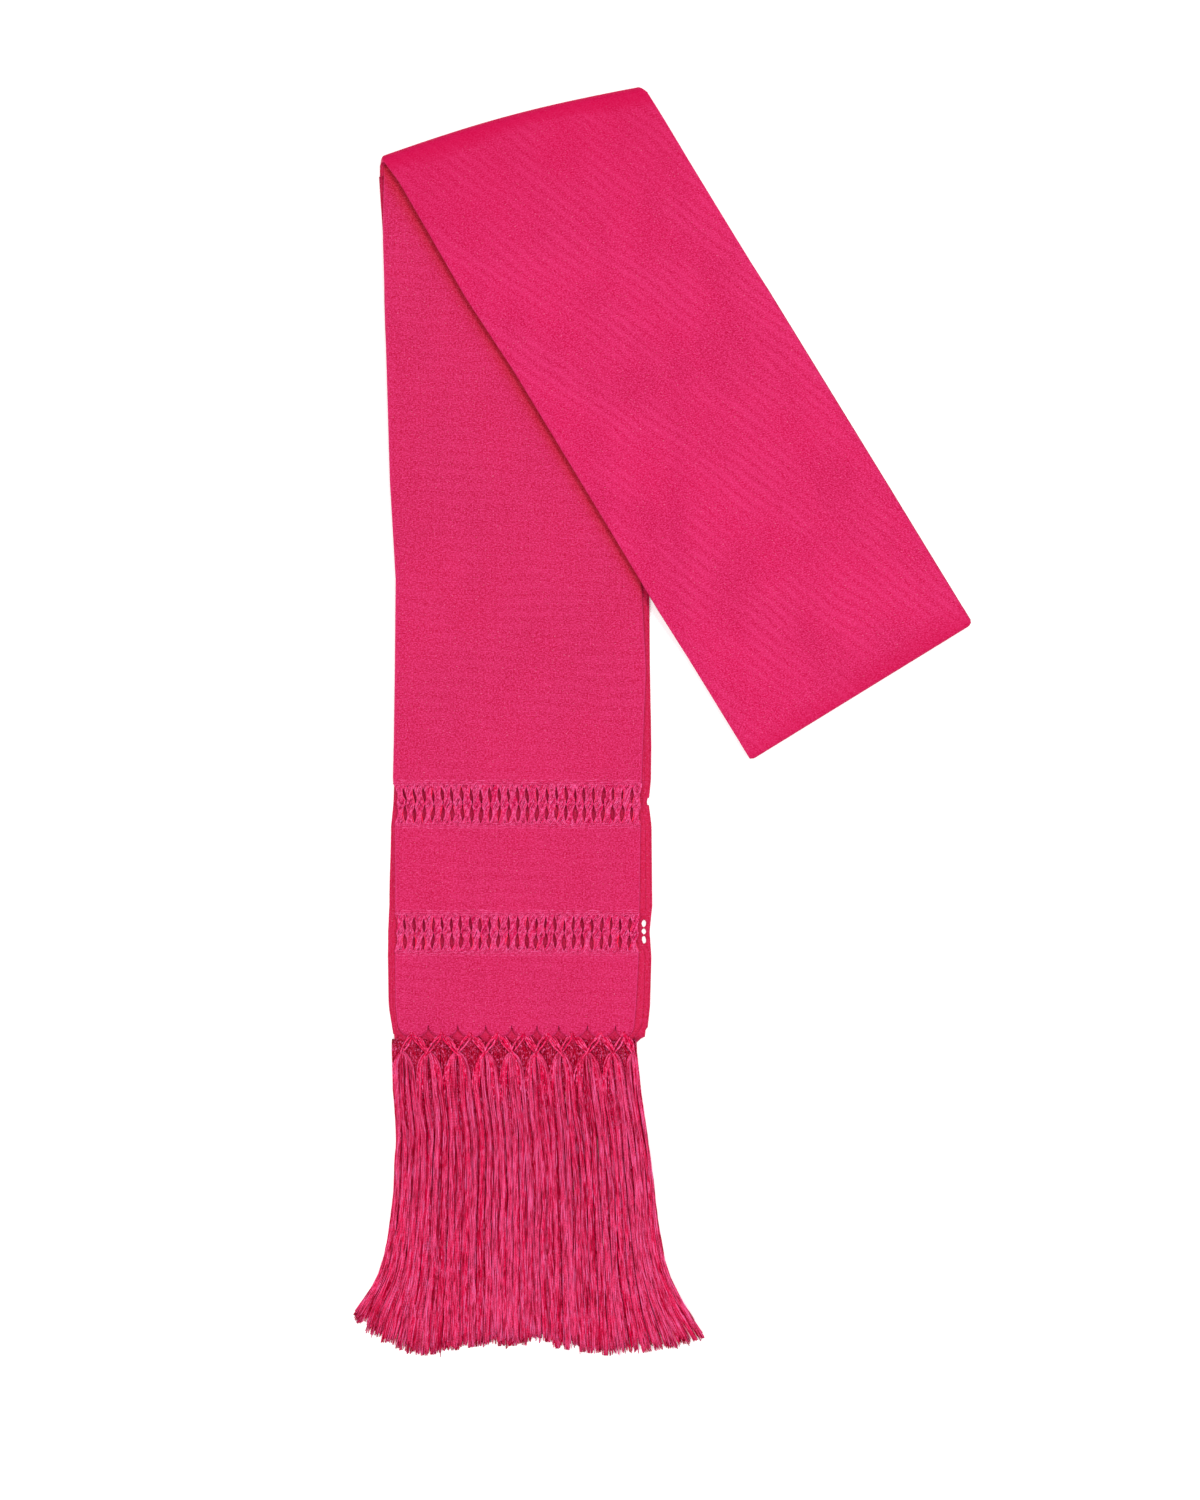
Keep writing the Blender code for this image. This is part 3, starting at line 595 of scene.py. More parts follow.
class NodeMaker:
    """Makes the nodes of one tree. A value given to a node is a number, a colour or another node's output."""

    def __init__(self, tree):
        self.tree = tree

    def link(self, value, socket):
        if isinstance(value, bpy.types.NodeSocket):
            self.tree.links.new(value, socket)
        else:
            socket.default_value = value

    def make(self, kind, inputs=(), **settings):
        """A node with its settings and its inputs, which are (socket name or number, value)."""
        made = self.tree.nodes.new("ShaderNode" + kind)
        for key, value in settings.items():
            setattr(made, key, value)
        for key, value in inputs:
            self.link(value, made.inputs[key])
        return made

    def math(self, operation, a, b=0.0):
        return self.make("Math", [(0, a), (1, b)], operation=operation).outputs[0]

    def add(self, a, b):
        return self.math("ADD", a, b)

    def times(self, a, b):
        return self.math("MULTIPLY", a, b)

    def wave(self, value, pitch):
        return self.math("SINE", self.times(self.math("DIVIDE", value, pitch), 2 * math.pi))

    def scaled(self, vector, x_scale, y_scale, z_scale=1.0):
        inputs = [(0, vector), (1, (x_scale, y_scale, z_scale))]
        return self.make("VectorMath", inputs, operation="MULTIPLY").outputs[0]

    def noise(self, vector, scale=1.0, detail=2.0, roughness=0.6):
        inputs = [("Vector", vector), ("Scale", scale), ("Detail", detail), ("Roughness", roughness)]
        return self.make("TexNoise", inputs).outputs["Fac"]

    def range(self, value, low, high, to_low=0.0, to_high=1.0):
        inputs = [(0, value), (1, low), (2, high), (3, to_low), (4, to_high)]
        return self.make("MapRange", inputs).outputs[0]

    def mix(self, amount, colour, towards, blend="MIX"):
        inputs = [(0, amount), (6, colour), (7, towards)]
        return self.make("Mix", inputs, data_type="RGBA", blend_type=blend).outputs[2]

    def layered(self, colour, layers):
        """A colour with layers of other colours over it, each by an amount."""
        for amount, towards in layers:
            colour = self.mix(amount, colour, towards)
        return colour


def new_group(name, inputs):
    """An empty node group whose inputs are places on the cloth, colours and values. It puts out a colour, a
    bump height and a roughness. Returns its node maker, what it is given and what it puts out."""
    group = bpy.data.node_groups.new(name, "ShaderNodeTree")
    for socket_name, default in inputs.items():
        kind = {tuple: "Color", float: "Float"}.get(type(default), "Vector")
        socket = group.interface.new_socket(socket_name, in_out="INPUT", socket_type="NodeSocket" + kind)
        if default is not None:
            socket.default_value = default
    for socket_name, kind in (("Color", "Color"), ("Height", "Float"), ("Roughness", "Float")):
        group.interface.new_socket(socket_name, in_out="OUTPUT", socket_type="NodeSocket" + kind)
    given, made = group.nodes.new("NodeGroupInput"), group.nodes.new("NodeGroupOutput")
    return NodeMaker(group), given.outputs, made.inputs


def make_weave_group():
    """Fine warp-faced weave: thread and rib heights, light and dark flecks, weft slubs, lengthwise streaks,
    broad patches and faint waves, with painted glints, a painted highlight along folded edges and a painted
    shadow beside the slanted leg."""
    nodes, given, made = new_group("rebozo weave", {
        "Map": None, "Thread Pitch": 0.55, "Rib Pitch": 1.1, "Cloth": (0.7, 0.03, 0.12, 1.0),
        "Light": (0.9, 0.12, 0.3, 1.0), "Deep": (0.5, 0.01, 0.06, 1.0), "Bright": (0.95, 0.3, 0.5, 1.0),
        "Flecks": 0.5, "Slubs": 0.4, "Patches": 0.3, "Streaks": 0.1, "Ripple": 0.1, "Ripple Across": 0.9,
        "Ripple Along": 0.44, "Ripple Pitch": 8.6, "Edge": 0.0, "Taut": 0.0, "Painted_Shadow": 0.0})
    light, deep = given["Light"], given["Deep"]
    in_mm = nodes.scaled(given["Map"], 1000.0, 1000.0, 1000.0)
    parts = nodes.make("SeparateXYZ", [(0, in_mm)])
    across, along = parts.outputs[0], parts.outputs[1]

    def noise(x_scale, y_scale, detail=2.0):
        return nodes.noise(nodes.scaled(in_mm, x_scale, y_scale), 1.0, detail)

    drift = nodes.times(nodes.math("SUBTRACT", noise(0.02, 0.02), 0.5), 7.0)
    rib = nodes.wave(nodes.add(along, drift), given["Rib Pitch"])
    row = nodes.math("ROUND", nodes.math("DIVIDE", along, given["Rib Pitch"]))
    thread = nodes.wave(nodes.add(across, nodes.times(row, 0.27)), given["Thread Pitch"])
    weave_height = nodes.add(nodes.times(rib, 0.5), nodes.times(thread, 0.5))
    slub = nodes.range(noise(0.22, 1.3), 0.52, 0.72)
    streak = nodes.range(noise(0.8, 0.35, 3.0), 0.4, 0.66)
    broad = noise(0.42, 0.02)
    lean = nodes.add(nodes.times(across, given["Ripple Across"]), nodes.times(along, given["Ripple Along"]))
    ripple = nodes.wave(nodes.add(lean, nodes.times(drift, 2.0)), given["Ripple Pitch"])
    ripple_mask = nodes.range(noise(0.03, 0.02, 1.0), 0.35, 0.6)
    ripple_light = nodes.times(nodes.range(ripple, -1.0, 1.0), ripple_mask)
    fleck = nodes.range(noise(0.9, 1.1), 0.46, 0.68)
    # Painted glints: tiny bright specks that stand in for the shine of the rayon yarn
    painted_glint = nodes.range(noise(0.6, 1.0, 1.0), 0.69, 0.76)
    dark_fleck = nodes.range(noise(1.0, 0.8), 0.5, 0.68)
    patch = nodes.range(noise(0.016, 0.011, 3.0), 0.38, 0.62)
    grain = nodes.noise(in_mm, 2.4, 1.0)

    colour = nodes.layered(given["Cloth"], (
        (nodes.times(patch, given["Patches"]), deep),
        (nodes.range(weave_height, -1.0, 0.3, 0.34, 0.0), deep),
        (nodes.times(dark_fleck, nodes.times(given["Flecks"], 0.9)), deep),
        (nodes.times(slub, given["Slubs"]), light),
        (nodes.times(fleck, given["Flecks"]), light),
        (nodes.times(streak, 0.3), light),
        (nodes.times(nodes.range(broad, 0.5, 0.68), given["Streaks"]), light),
        (nodes.times(nodes.times(nodes.range(broad, 0.5, 0.32), given["Streaks"]), 0.45), deep),
        (nodes.times(ripple_light, given["Ripple"]), light),
        # painted glints, mixed towards a whitish pink
        (nodes.times(painted_glint, 0.4), given["Bright"]),
        (nodes.times(given["Taut"], 0.75), given["Cloth"]),
        (nodes.times(given["Edge"], nodes.range(grain, 0.3, 0.7, 0.35, 0.9)), light)))
    # Painted shadow: the colour is tinted darker and redder beside and under the slanted leg's edge
    nodes.link(nodes.mix(given["Painted_Shadow"], colour, PAINTED_SHADOW_TINT, "MULTIPLY"), made["Color"])
    height = nodes.add(weave_height, nodes.times(slub, 0.7))
    nodes.link(nodes.add(height, nodes.times(grain, 0.8)), made["Height"])
    nodes.link(nodes.range(fleck, 0.0, 1.0, 0.62, 0.46), made["Roughness"])
    return nodes.tree


def make_twist_group():
    """Plied yarn: slanting ply lines, a shade for each yarn and a fine speckle of highlights."""
    nodes, given, made = new_group("rebozo twist", {
        "Map": None, "Shade": 0.5, "Yarn": (0.7, 0.03, 0.12, 1.0), "Light": (0.9, 0.12, 0.3, 1.0),
        "Deep": (0.4, 0.01, 0.05, 1.0), "Ply Pitch": 1.6, "Speckle": 0.5, "Speckle Length": 3.0})
    light, deep, shade = given["Light"], given["Deep"], given["Shade"]
    parts = nodes.make("SeparateXYZ", [(0, nodes.scaled(given["Map"], 1000.0, 1000.0, 1000.0))])
    around, along = parts.outputs[0], parts.outputs[1]
    turns = nodes.add(nodes.math("DIVIDE", along, given["Ply Pitch"]),
                      nodes.math("DIVIDE", around, YARN_MAP_WIDTH))
    ply = nodes.math("SINE", nodes.times(turns, 2 * math.pi))
    stretched = nodes.math("DIVIDE", along, given["Speckle Length"])
    place = nodes.make("CombineXYZ", [(0, nodes.times(shade, 53.0)), (1, stretched)]).outputs[0]
    speckle = nodes.noise(place, 1.0, 3.0, 0.65)
    drift = nodes.math("SUBTRACT", nodes.noise(place, 0.16, 1.0, 0.5), 0.5)
    lightness = nodes.add(nodes.range(shade, 0.55, 1.0, 0.0, 0.4), nodes.times(drift, 0.5))

    nodes.link(nodes.layered(given["Yarn"], (
        # Low shades, which carry the painted shade put into the fringe and the nets as well as each yarn's
        # tone, go towards Deep
        (nodes.range(shade, 0.0, 0.62, 0.85, 0.0), deep),
        (nodes.make("Clamp", [(0, lightness)]).outputs[0], light),
        (nodes.range(ply, -1.0, 0.2, 0.3, 0.0), deep),
        (nodes.times(nodes.range(speckle, 0.5, 0.36), given["Speckle"]), deep),
        (nodes.times(nodes.range(speckle, 0.51, 0.65), given["Speckle"]), light))), made["Color"])
    nodes.link(ply, made["Height"])
    nodes.link(nodes.range(speckle, 0.3, 0.7, 0.6, 0.4), made["Roughness"])
    return nodes.tree


def tint(colour, share, towards):
    """A colour moved a share of the way towards another, with its alpha."""
    mixed = [a + share * (b - a) for a, b in zip(colour, towards)]
    return (*mixed, 1.0)


def grouped_material(name, group, values, marks, bump, specular):
    """A material whose colour, roughness and bump come from a node group. values are the group's inputs, and
    marks those that the mesh's own values feed. bump is its strength and its distance in metres."""
    made = bpy.data.materials.new(name)
    made.use_nodes = True
    nodes = NodeMaker(made.node_tree)
    shader = made.node_tree.nodes["Principled BSDF"].inputs
    shader["Specular IOR Level"].default_value = specular
    finish = nodes.make("Group", node_tree=group)
    nodes.link(nodes.make("UVMap", uv_map="cloth_map").outputs[0], finish.inputs["Map"])
    for key, value in values.items():
        nodes.link(value, finish.inputs[key])
    for mark in marks:
        attribute = nodes.make("Attribute", attribute_name=mark.lower())
        nodes.link(attribute.outputs["Fac"], finish.inputs[mark])
    nodes.link(finish.outputs["Color"], shader["Base Color"])
    nodes.link(finish.outputs["Roughness"], shader["Roughness"])
    relief = [("Strength", bump[0]), ("Distance", bump[1]), ("Height", finish.outputs["Height"])]
    nodes.link(nodes.make("Bump", relief).outputs[0], shader["Normal"])
    return made


def weave_material(name, colour, finish):
    """The woven cloth's material. finish is one of the weave's finishes."""
    sizes = bpy.context.scene.rebozo_sizes
    group = bpy.data.node_groups.get("rebozo weave") or make_weave_group()
    values = {
        "Thread Pitch": sizes.thread_pitch / MM, "Rib Pitch": sizes.rib_pitch / MM, "Cloth": (*colour, 1.0),
        "Light": tint(colour, 0.38, (0.95, 0.092, 0.35)), "Deep": tint(colour, 0.5, (0.2, 0.0, 0.015)),
        "Bright": tint(colour, 0.6, (1.0, 0.42, 0.62)), **dict(zip(WEAVE_INPUTS, finish))}
    made = grouped_material(name, group, values, ("Edge", "Taut", "Painted_Shadow"), (0.5, 0.00007), 0.04)
    shader = made.node_tree.nodes["Principled BSDF"].inputs
    shader["Sheen Weight"].default_value = 0.03
    shader["Sheen Roughness"].default_value = 0.45
    shader["Sheen Tint"].default_value = (1.0, 0.3, 0.5, 1.0)
    return made


def hidden_weave():
    """The material that both stacks of hidden layers share."""
    name = "hidden layers weave"
    colour = bpy.context.scene.rebozo_colours.hidden_cloth
    return bpy.data.materials.get(name) or weave_material(name, colour, HIDDEN_FINISH)


def yarn_material(name, colour, twist):
    """The plied yarn's material. twist is one of the yarns' twists."""
    group = bpy.data.node_groups.get("rebozo twist") or make_twist_group()
    values = {
        "Yarn": (*colour, 1.0), "Light": tint(colour, 0.8, (0.88, 0.175, 0.44)),
        "Deep": tint(colour, 0.88, (0.2, 0.0, 0.0)), **dict(zip(TWIST_INPUTS, twist))}
    return grouped_material(name, group, values, ("Shade",), (0.6, 0.00012), 0.02)


def place_piece(obj, slot, *replaced):
    """Fixes a piece to the shawl's one body, and hides the parts of model.glb that it replaces. slot is not
    used.
    """
    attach(obj, BODY)
    if replaced:
        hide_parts(*replaced)


# Straight leg

def end_line(edges):
    """Points of the scalloped end between the two edges, with each notch."""
    limits = [edges[0], *NOTCHES, edges[1]]
    xs, ys = [], []
    for left, right in zip(limits, limits[1:]):
        for i in range(SCALLOP_POINTS):
            angle = math.pi * i / SCALLOP_POINTS
            xs.append((left + right) / 2 - (right - left) / 2 * math.cos(angle))
            ys.append(SCALLOP_TOP - SCALLOP_DEPTH * math.sin(angle) ** 0.85)
    return np.array([*xs, edges[1]]), np.array([*ys, SCALLOP_TOP])


def straight_columns():
    """Shares across the straight leg for the mesh's columns, with the notches and the curled edges on
    them, and the y of the end line at each."""
    left, right = leg_edges(SCALLOP_TOP)
    xs, ys = end_line((left, right))
    extra = [distance for distance, _ in CURL if distance]
    added = np.array([left + d for d in extra] + [right - d for d in extra])
    added_ys = np.interp(added, xs, ys)
    order = np.argsort(np.concatenate([xs, added]))
    xs = np.concatenate([xs, added])[order]
    return (xs - left) / (right - left), np.concatenate([ys, added_ys])[order]


class REBOZO_OT_straight_cloth(Operator):
    """Makes the straight leg's showing layer, from the crease to its scalloped end."""

    bl_idname = "rebozo.straight_cloth"
    bl_label = "Straight cloth"

    def execute(self, context):
        sizes, colours = context.scene.rebozo_sizes, context.scene.rebozo_colours
        shares, end_ys = straight_columns()
        drop = FOLD_RADIUS + THROAT_RADIUS + 3 * SEAM
        _, top_left, top_right, *_ = STRAIGHT_LEVELS[0]
        top_ys = np.array([crease_y(top_left + s * (top_right - top_left)) - drop for s in shares])
        spans = ((top_ys, BANDS[0][0], 150), (BANDS[0][1], BANDS[1][0], 22), (BANDS[1][1], end_ys, 18))
        sheet = Grids()
        for start, end, rows in spans:
            down = np.linspace(0, 1, rows + 1)[:, None]
            y = start + (end - start) * down + np.zeros((rows + 1, len(shares)))
            left, right = leg_edges(y)
            x = left + shares * (right - left)
            from_edge = np.minimum(x - left, right - x)
            z = LEG - curl_drop(from_edge)
            z += press_creases(STRAIGHT_CREASES, x, y, sizes.crease_strength)
            # Painted shadow: the straight cloth under and just beside the slanted leg's edge gets a darker,
            # redder tint
            under = (x - CREASE_LEFT.x) * math.cos(SLANT) + (y - CREASE_LEFT.y) * math.sin(SLANT)
            painted_shadow = np.exp(-(np.minimum(under, 0) / PAINTED_SHADOW_WIDTH) ** 2)
            points, on_cloth = np.stack([x, y, z], -1), np.stack([x, y], -1)
            sheet.add(points, on_cloth, edge=edge_light(from_edge), painted_shadow=painted_shadow)
        finish = weave_material("straight leg weave", colours.straight_cloth, STRAIGHT_FINISH)
        cloth = sheet.build("straight_cloth", finish)
        make_thin_cloth(cloth, sizes.cloth_thickness)
        place_piece(cloth, "straight_cloth", "fringed_panel")
        return {"FINISHED"}


def bundle_joints(y, strays):
    """The x of the limits between bundles on a line of the straight leg."""
    left, right = leg_edges(y)
    pitch = (right - left) / BUNDLES
    return np.array([left, *[left + pitch * (k + 1) + strays[k] for k in range(BUNDLES - 1)], right])


class REBOZO_OT_openwork(Operator):
    """Makes the two openwork bands: twisted bundles of warp yarns, and the weft threads that hold them."""

    bl_idname = "rebozo.openwork"
    bl_label = "Openwork"

    def execute(self, context):
        sizes, colours = context.scene.rebozo_sizes, context.scene.rebozo_colours
        strays_of = random.Random(BAND_SEED)
        finish = yarn_material("openwork yarn", colours.openwork, OPENWORK_TWIST)
        # The yarns below get a brighter, redder copy of the yarn material: painted bounce light in the
        # openwork's gaps
        below = yarn_material("hidden openwork yarn", colours.openwork_below, HIDDEN_OPENWORK_TWIST)
        for number, band in enumerate(BANDS):
            strays = [strays_of.uniform(-BUNDLE_STRAY, BUNDLE_STRAY) for _ in range(BUNDLES - 1)]
            name = f"openwork_{number + 1}"
            counts = (19, sizes.bundle_yarns, 5)
            bundles = self.make_bundles(name, band, strays, LEG - 0.5, counts, finish)
            place_piece(bundles, "straight_cloth")
            generator = np.random.default_rng(BAND_SEED + number)
            wefts = self.make_wefts(f"{name}_wefts", band, generator, sizes.crease_strength, finish)
            place_piece(wefts, "straight_cloth")
            under = self.make_bundles(f"{name}_below", band, strays[::-1], LEG - 1.05, (13, 7, 4), below)
            place_piece(under, "hidden_cloth")
        return {"FINISHED"}

    def make_bundles(self, name, band, strays, level, counts, finish):
        """One band's bundles. counts are the rings along a yarn, the yarns in a bundle and a yarn's sides."""
        top, bottom = band
        generator = np.random.default_rng(BAND_SEED + int(level * 10 - top))
        rings, yarns, sides = counts
        share = np.linspace(0, 1, rings)
        y = top + BUNDLE_INSET + (bottom - top - 2 * BUNDLE_INSET) * share
        joints = np.array([bundle_joints(value, strays) for value in y])
        depth = np.interp(share, *zip(*BUNDLE_DEPTHS))
        paths, shades = [], []
        for k in range(BUNDLES):
            low, high = joints[:, k], joints[:, k + 1]
            lean = generator.uniform(-0.7, 0.7)
            middle = (low + high) / 2 + lean * np.sin(2 * np.pi * share) * 0.7
            shifted = share + generator.uniform(-0.06, 0.06)
            width = (high - low) * np.interp(shifted, *zip(*BUNDLE_WIDTHS)) - 0.7
            width *= 1 + generator.uniform(-0.14, 0.08) * np.sin(2 * np.pi * share) ** 2
            turn = np.pi * (1.1 + generator.uniform(-0.25, 0.25)) * (share * 2 - 1)
            for i in range(yarns):
                angle = 2 * np.pi * (i + generator.uniform(-0.2, 0.2)) / yarns + turn
                x = middle + width / 2 * np.cos(angle)
                paths.append(np.stack([x, y, level + depth / 2 * np.sin(angle)], -1))
                shades.append(generator.uniform(0.58, 1.08))
        radii = np.full((len(paths), rings), BUNDLE_YARN_RADIUS)
        shifts = generator.uniform(0, PATTERN_SHIFT, len(paths))
        return build_tubes(name, np.array(paths), radii, sides, np.array(shades), finish, shifts)

    def make_wefts(self, name, band, generator, crease_strength, finish):
        """Raised weft threads on the cloth at both sides of a band, and one through its middle."""
        top, bottom = band
        lines = [(side + way * distance, lift) for side, way in ((top, 1), (bottom, -1))
                 for distance, lift in WEFT_LINES]
        paths, shades = [], []
        for y, lift in [*lines, ((top + bottom) / 2, -0.55)]:
            left, right = leg_edges(y)
            x = np.linspace(left + 0.5, right - 0.5, WEFT_RINGS)
            wobble = 0.25 * np.sin(x * 0.9 + generator.uniform(0, 6)) + 0.2 * np.sin(x * 0.17 + y)
            z = LEG + lift - 0.12 + 0.12 * np.sin(x * 1.7 + y) - curl_drop(np.minimum(x - left, right - x))
            z += press_creases(STRAIGHT_CREASES, x, x * 0 + y, crease_strength)
            paths.append(np.stack([x, y + wobble, z], -1))
            shades.append(generator.uniform(0.75, 1.0))
        radii = np.full((len(paths), WEFT_RINGS), WEFT_RADIUS)
        shades = np.array(shades) * 0.3 + 0.7
        return build_tubes(name, np.array(paths), radii, 5, shades, finish, np.zeros(len(paths)))


# Hidden layers

def flattened_tube(columns):
    """A layer's section, as places across, offsets past its edge and heights from -1 to 1: along the top from
    left to right, round the right edge, back along the bottom and round the left edge."""
    across = [i / (columns - 1) for i in range(columns)]
    turns = [math.pi * i / EDGE_STEPS for i in range(1, EDGE_STEPS)]
    section = [(share, 0.0, 1.0) for share in across]
    section += [(1.0, math.sin(turn), math.cos(turn)) for turn in turns]
    section += [(share, 0.0, -1.0) for share in reversed(across)]
    section += [(0.0, -math.sin(turn), -math.cos(turn)) for turn in turns]
    return section


class REBOZO_OT_straight_layers(Operator):
    """Makes the straight leg's hidden layers: folded bands of cloth with rounded edges, one on another."""

    bl_idname = "rebozo.straight_layers"
    bl_label = "Straight leg's hidden layers"

    def execute(self, context):
        sizes = context.scene.rebozo_sizes
        section = flattened_tube(STRAIGHT_LAYER_COLUMNS)
        shares, offsets, heights = (np.array(values) for values in zip(*section))
        start = np.array([crease_y(-193 + 181 * share) for share in shares]) - TUCK - 2 * SEAM
        layers = Grids()
        for level, left_in, right_in, shift, further in STRAIGHT_LAYERS:
            y = self.rows_down(start, self.layer_end(shares, shift) - further * np.sin(np.pi * shares) ** 0.4)
            left, right = leg_edges(y, BELOW)
            left, right = left + left_in, right - right_in
            if right_in:
                right = right - 7.5 * np.exp(-((y + 148) / 10) ** 4) - 3.5 * np.exp(-((y + 57) / 6) ** 4)
            wave = 0.35 * np.sin(y / 31 + level * 2.1) + 0.25 * np.sin(y / 13 + level)
            x = left + LAYER_HALF + wave * (1 - shares) + shares * (right - left - 2 * LAYER_HALF)
            x = x + offsets * LAYER_HALF
            z = level + heights * LAYER_HALF
            z = z + 0.4 * press_creases(STRAIGHT_CREASES, x, y, sizes.crease_strength)
            z = np.maximum(z * (1 - 0.4 * self.under_openwork(y)), LOWEST)
            on_cloth = np.stack([x + heights * LAYER_HALF, y], -1)
            layers.add(np.stack([x, y, z], -1), on_cloth, STRAIGHT_LAYER_COLUMNS)
        stack = layers.build("straight_layers", hidden_weave())
        self.cut_edge_gaps(stack)
        place_piece(stack, "hidden_cloth", "straight_stack")
        return {"FINISHED"}

    def rows_down(self, start, end):
        """The y of a layer's rows of points, closer together under the openwork."""
        rows, last = [start], start
        for stop, steps in (*LAYER_ROWS, (end, LAYER_END_ROWS)):
            rows += [last + (stop - last) * (i + 1) / steps for i in range(steps)]
            last = np.zeros_like(start) + stop
        return np.array(rows)

    def under_openwork(self, y):
        """1 where a layer lies under an openwork band and sinks, 0 away from it."""
        sunk = np.zeros_like(y)
        for top, bottom in BANDS:
            middle, half = (top + bottom) / 2, (top - bottom) / 2
            sunk += np.exp(-((y - middle) / half) ** 8)
        return sunk

    def layer_end(self, shares, shift):
        """The y of a hidden layer's scalloped end."""
        scallops = np.abs(np.sin(np.pi * (shares * 9 + shift))) ** 0.8
        ends = SCALLOP_TOP - 7.0 - 6.5 * scallops
        return ends + np.maximum(0.0, (shares - 0.955) / 0.045) * 4.5

    def cut_edge_gaps(self, stack):
        """Cuts the openwork gaps that show through at the right edge."""
        points, faces = [], []
        turns = [2 * math.pi * (i + 0.5) / GAP_SIDES for i in range(GAP_SIDES)]
        for number, (x, y, width, length) in enumerate(EDGE_GAPS):
            for z in (-2.0, 8.0):
                for turn in turns:
                    bend = 1.0 + 0.2 * math.sin(number + 2 * turn)
                    across, along = width * 0.56 * bend * math.cos(turn), length * 0.54 * math.sin(turn)
                    points.append((x + across, y + along, z))
            first = number * 2 * GAP_SIDES
            faces.append(grid_faces(2, GAP_SIDES, first, wrap=True)[:, ::-1])
            faces.append((first + np.arange(GAP_SIDES)[::-1])[None])
            faces.append((first + GAP_SIDES + np.arange(GAP_SIDES))[None])
        cutter = build_mesh("edge_gap_cutter", points, faces)
        cut = stack.modifiers.new("edge gaps", "BOOLEAN")
        cut.operation = "DIFFERENCE"
        cut.solver = "EXACT"
        cut.object = cutter
        evaluated = stack.evaluated_get(bpy.context.evaluated_depsgraph_get())
        cut_mesh = bpy.data.meshes.new_from_object(evaluated)
        stack.modifiers.clear()
        stack.data = cut_mesh
        bpy.data.objects.remove(cutter, do_unlink=True)


class REBOZO_OT_slanted_layers(Operator):
    """Makes the hidden layers that turn round the crease and run inside the slanted leg."""

    bl_idname = "rebozo.slanted_layers"
    bl_label = "Slanted leg's hidden layers"

    def execute(self, context):
        section = flattened_tube(SLANTED_LAYER_COLUMNS)
        layers = Grids()
        for number, insets in enumerate(SLANTED_LAYERS):
            lines = [self.line_along(number, insets, place) for place in section]
            points, on_cloth = (np.array(values).transpose(1, 0, 2) for values in zip(*lines))
            layers.add(points, on_cloth, SLANTED_LAYER_COLUMNS)
        place_piece(layers.build("slanted_layers", hidden_weave()), "hidden_cloth", "slanted_stack")
        return {"FINISHED"}

    def line_along(self, number, insets, place):
        """A layer's points, and their places on the cloth, along the leg at one place of its section."""
        share, offset, height = place
        width = (CREASE_RIGHT - CREASE_LEFT).length
        low, high = number / 4 + 0.03, (number + 1) / 4 - 0.03
        level = (low + high) / 2 + (high - low) / 2 * height
        u_start = insets[0] + 0.5 - 0.45 * max(-offset, 0.0)
        u_end = 0.5 - 0.45 * max(offset, 0.0)
        u_crease = self.across(share, u_start, u_end + abs(insets[1]) + 0.6, width)
        u_leg = self.across(share, u_start, u_end + insets[1], width)
        trim = 0.8 if share in (0.0, 1.0) else 0.0
        crease_pairs, leg_pairs = hidden_path(u_crease, trim), hidden_path(u_leg, trim)
        points, on_cloth = [], []
        for i in range(len(crease_pairs)):
            past_step = min(max((i - 42) / 8, 0.0), 1.0)
            u = u_crease + (u_leg - u_crease) * past_step
            (d0, z0, turn), (d1, z1, _) = (leg_pairs if past_step else crease_pairs)[i]
            d, z = d0 + (d1 - d0) * level, z0 + (z1 - z0) * level
            at = slanted_place(u, d, turn)
            points.append((at.x, at.y, max(z, LOWEST)))
            on_cloth.append((share * width + offset, -(d if turn >= 0 else -d)))
        return points, on_cloth

    def across(self, share, left_inset, right_inset, width):
        """A share of the way between two insets, as u."""
        return (left_inset + share * (width - left_inset - right_inset)) / width


# Slanted leg

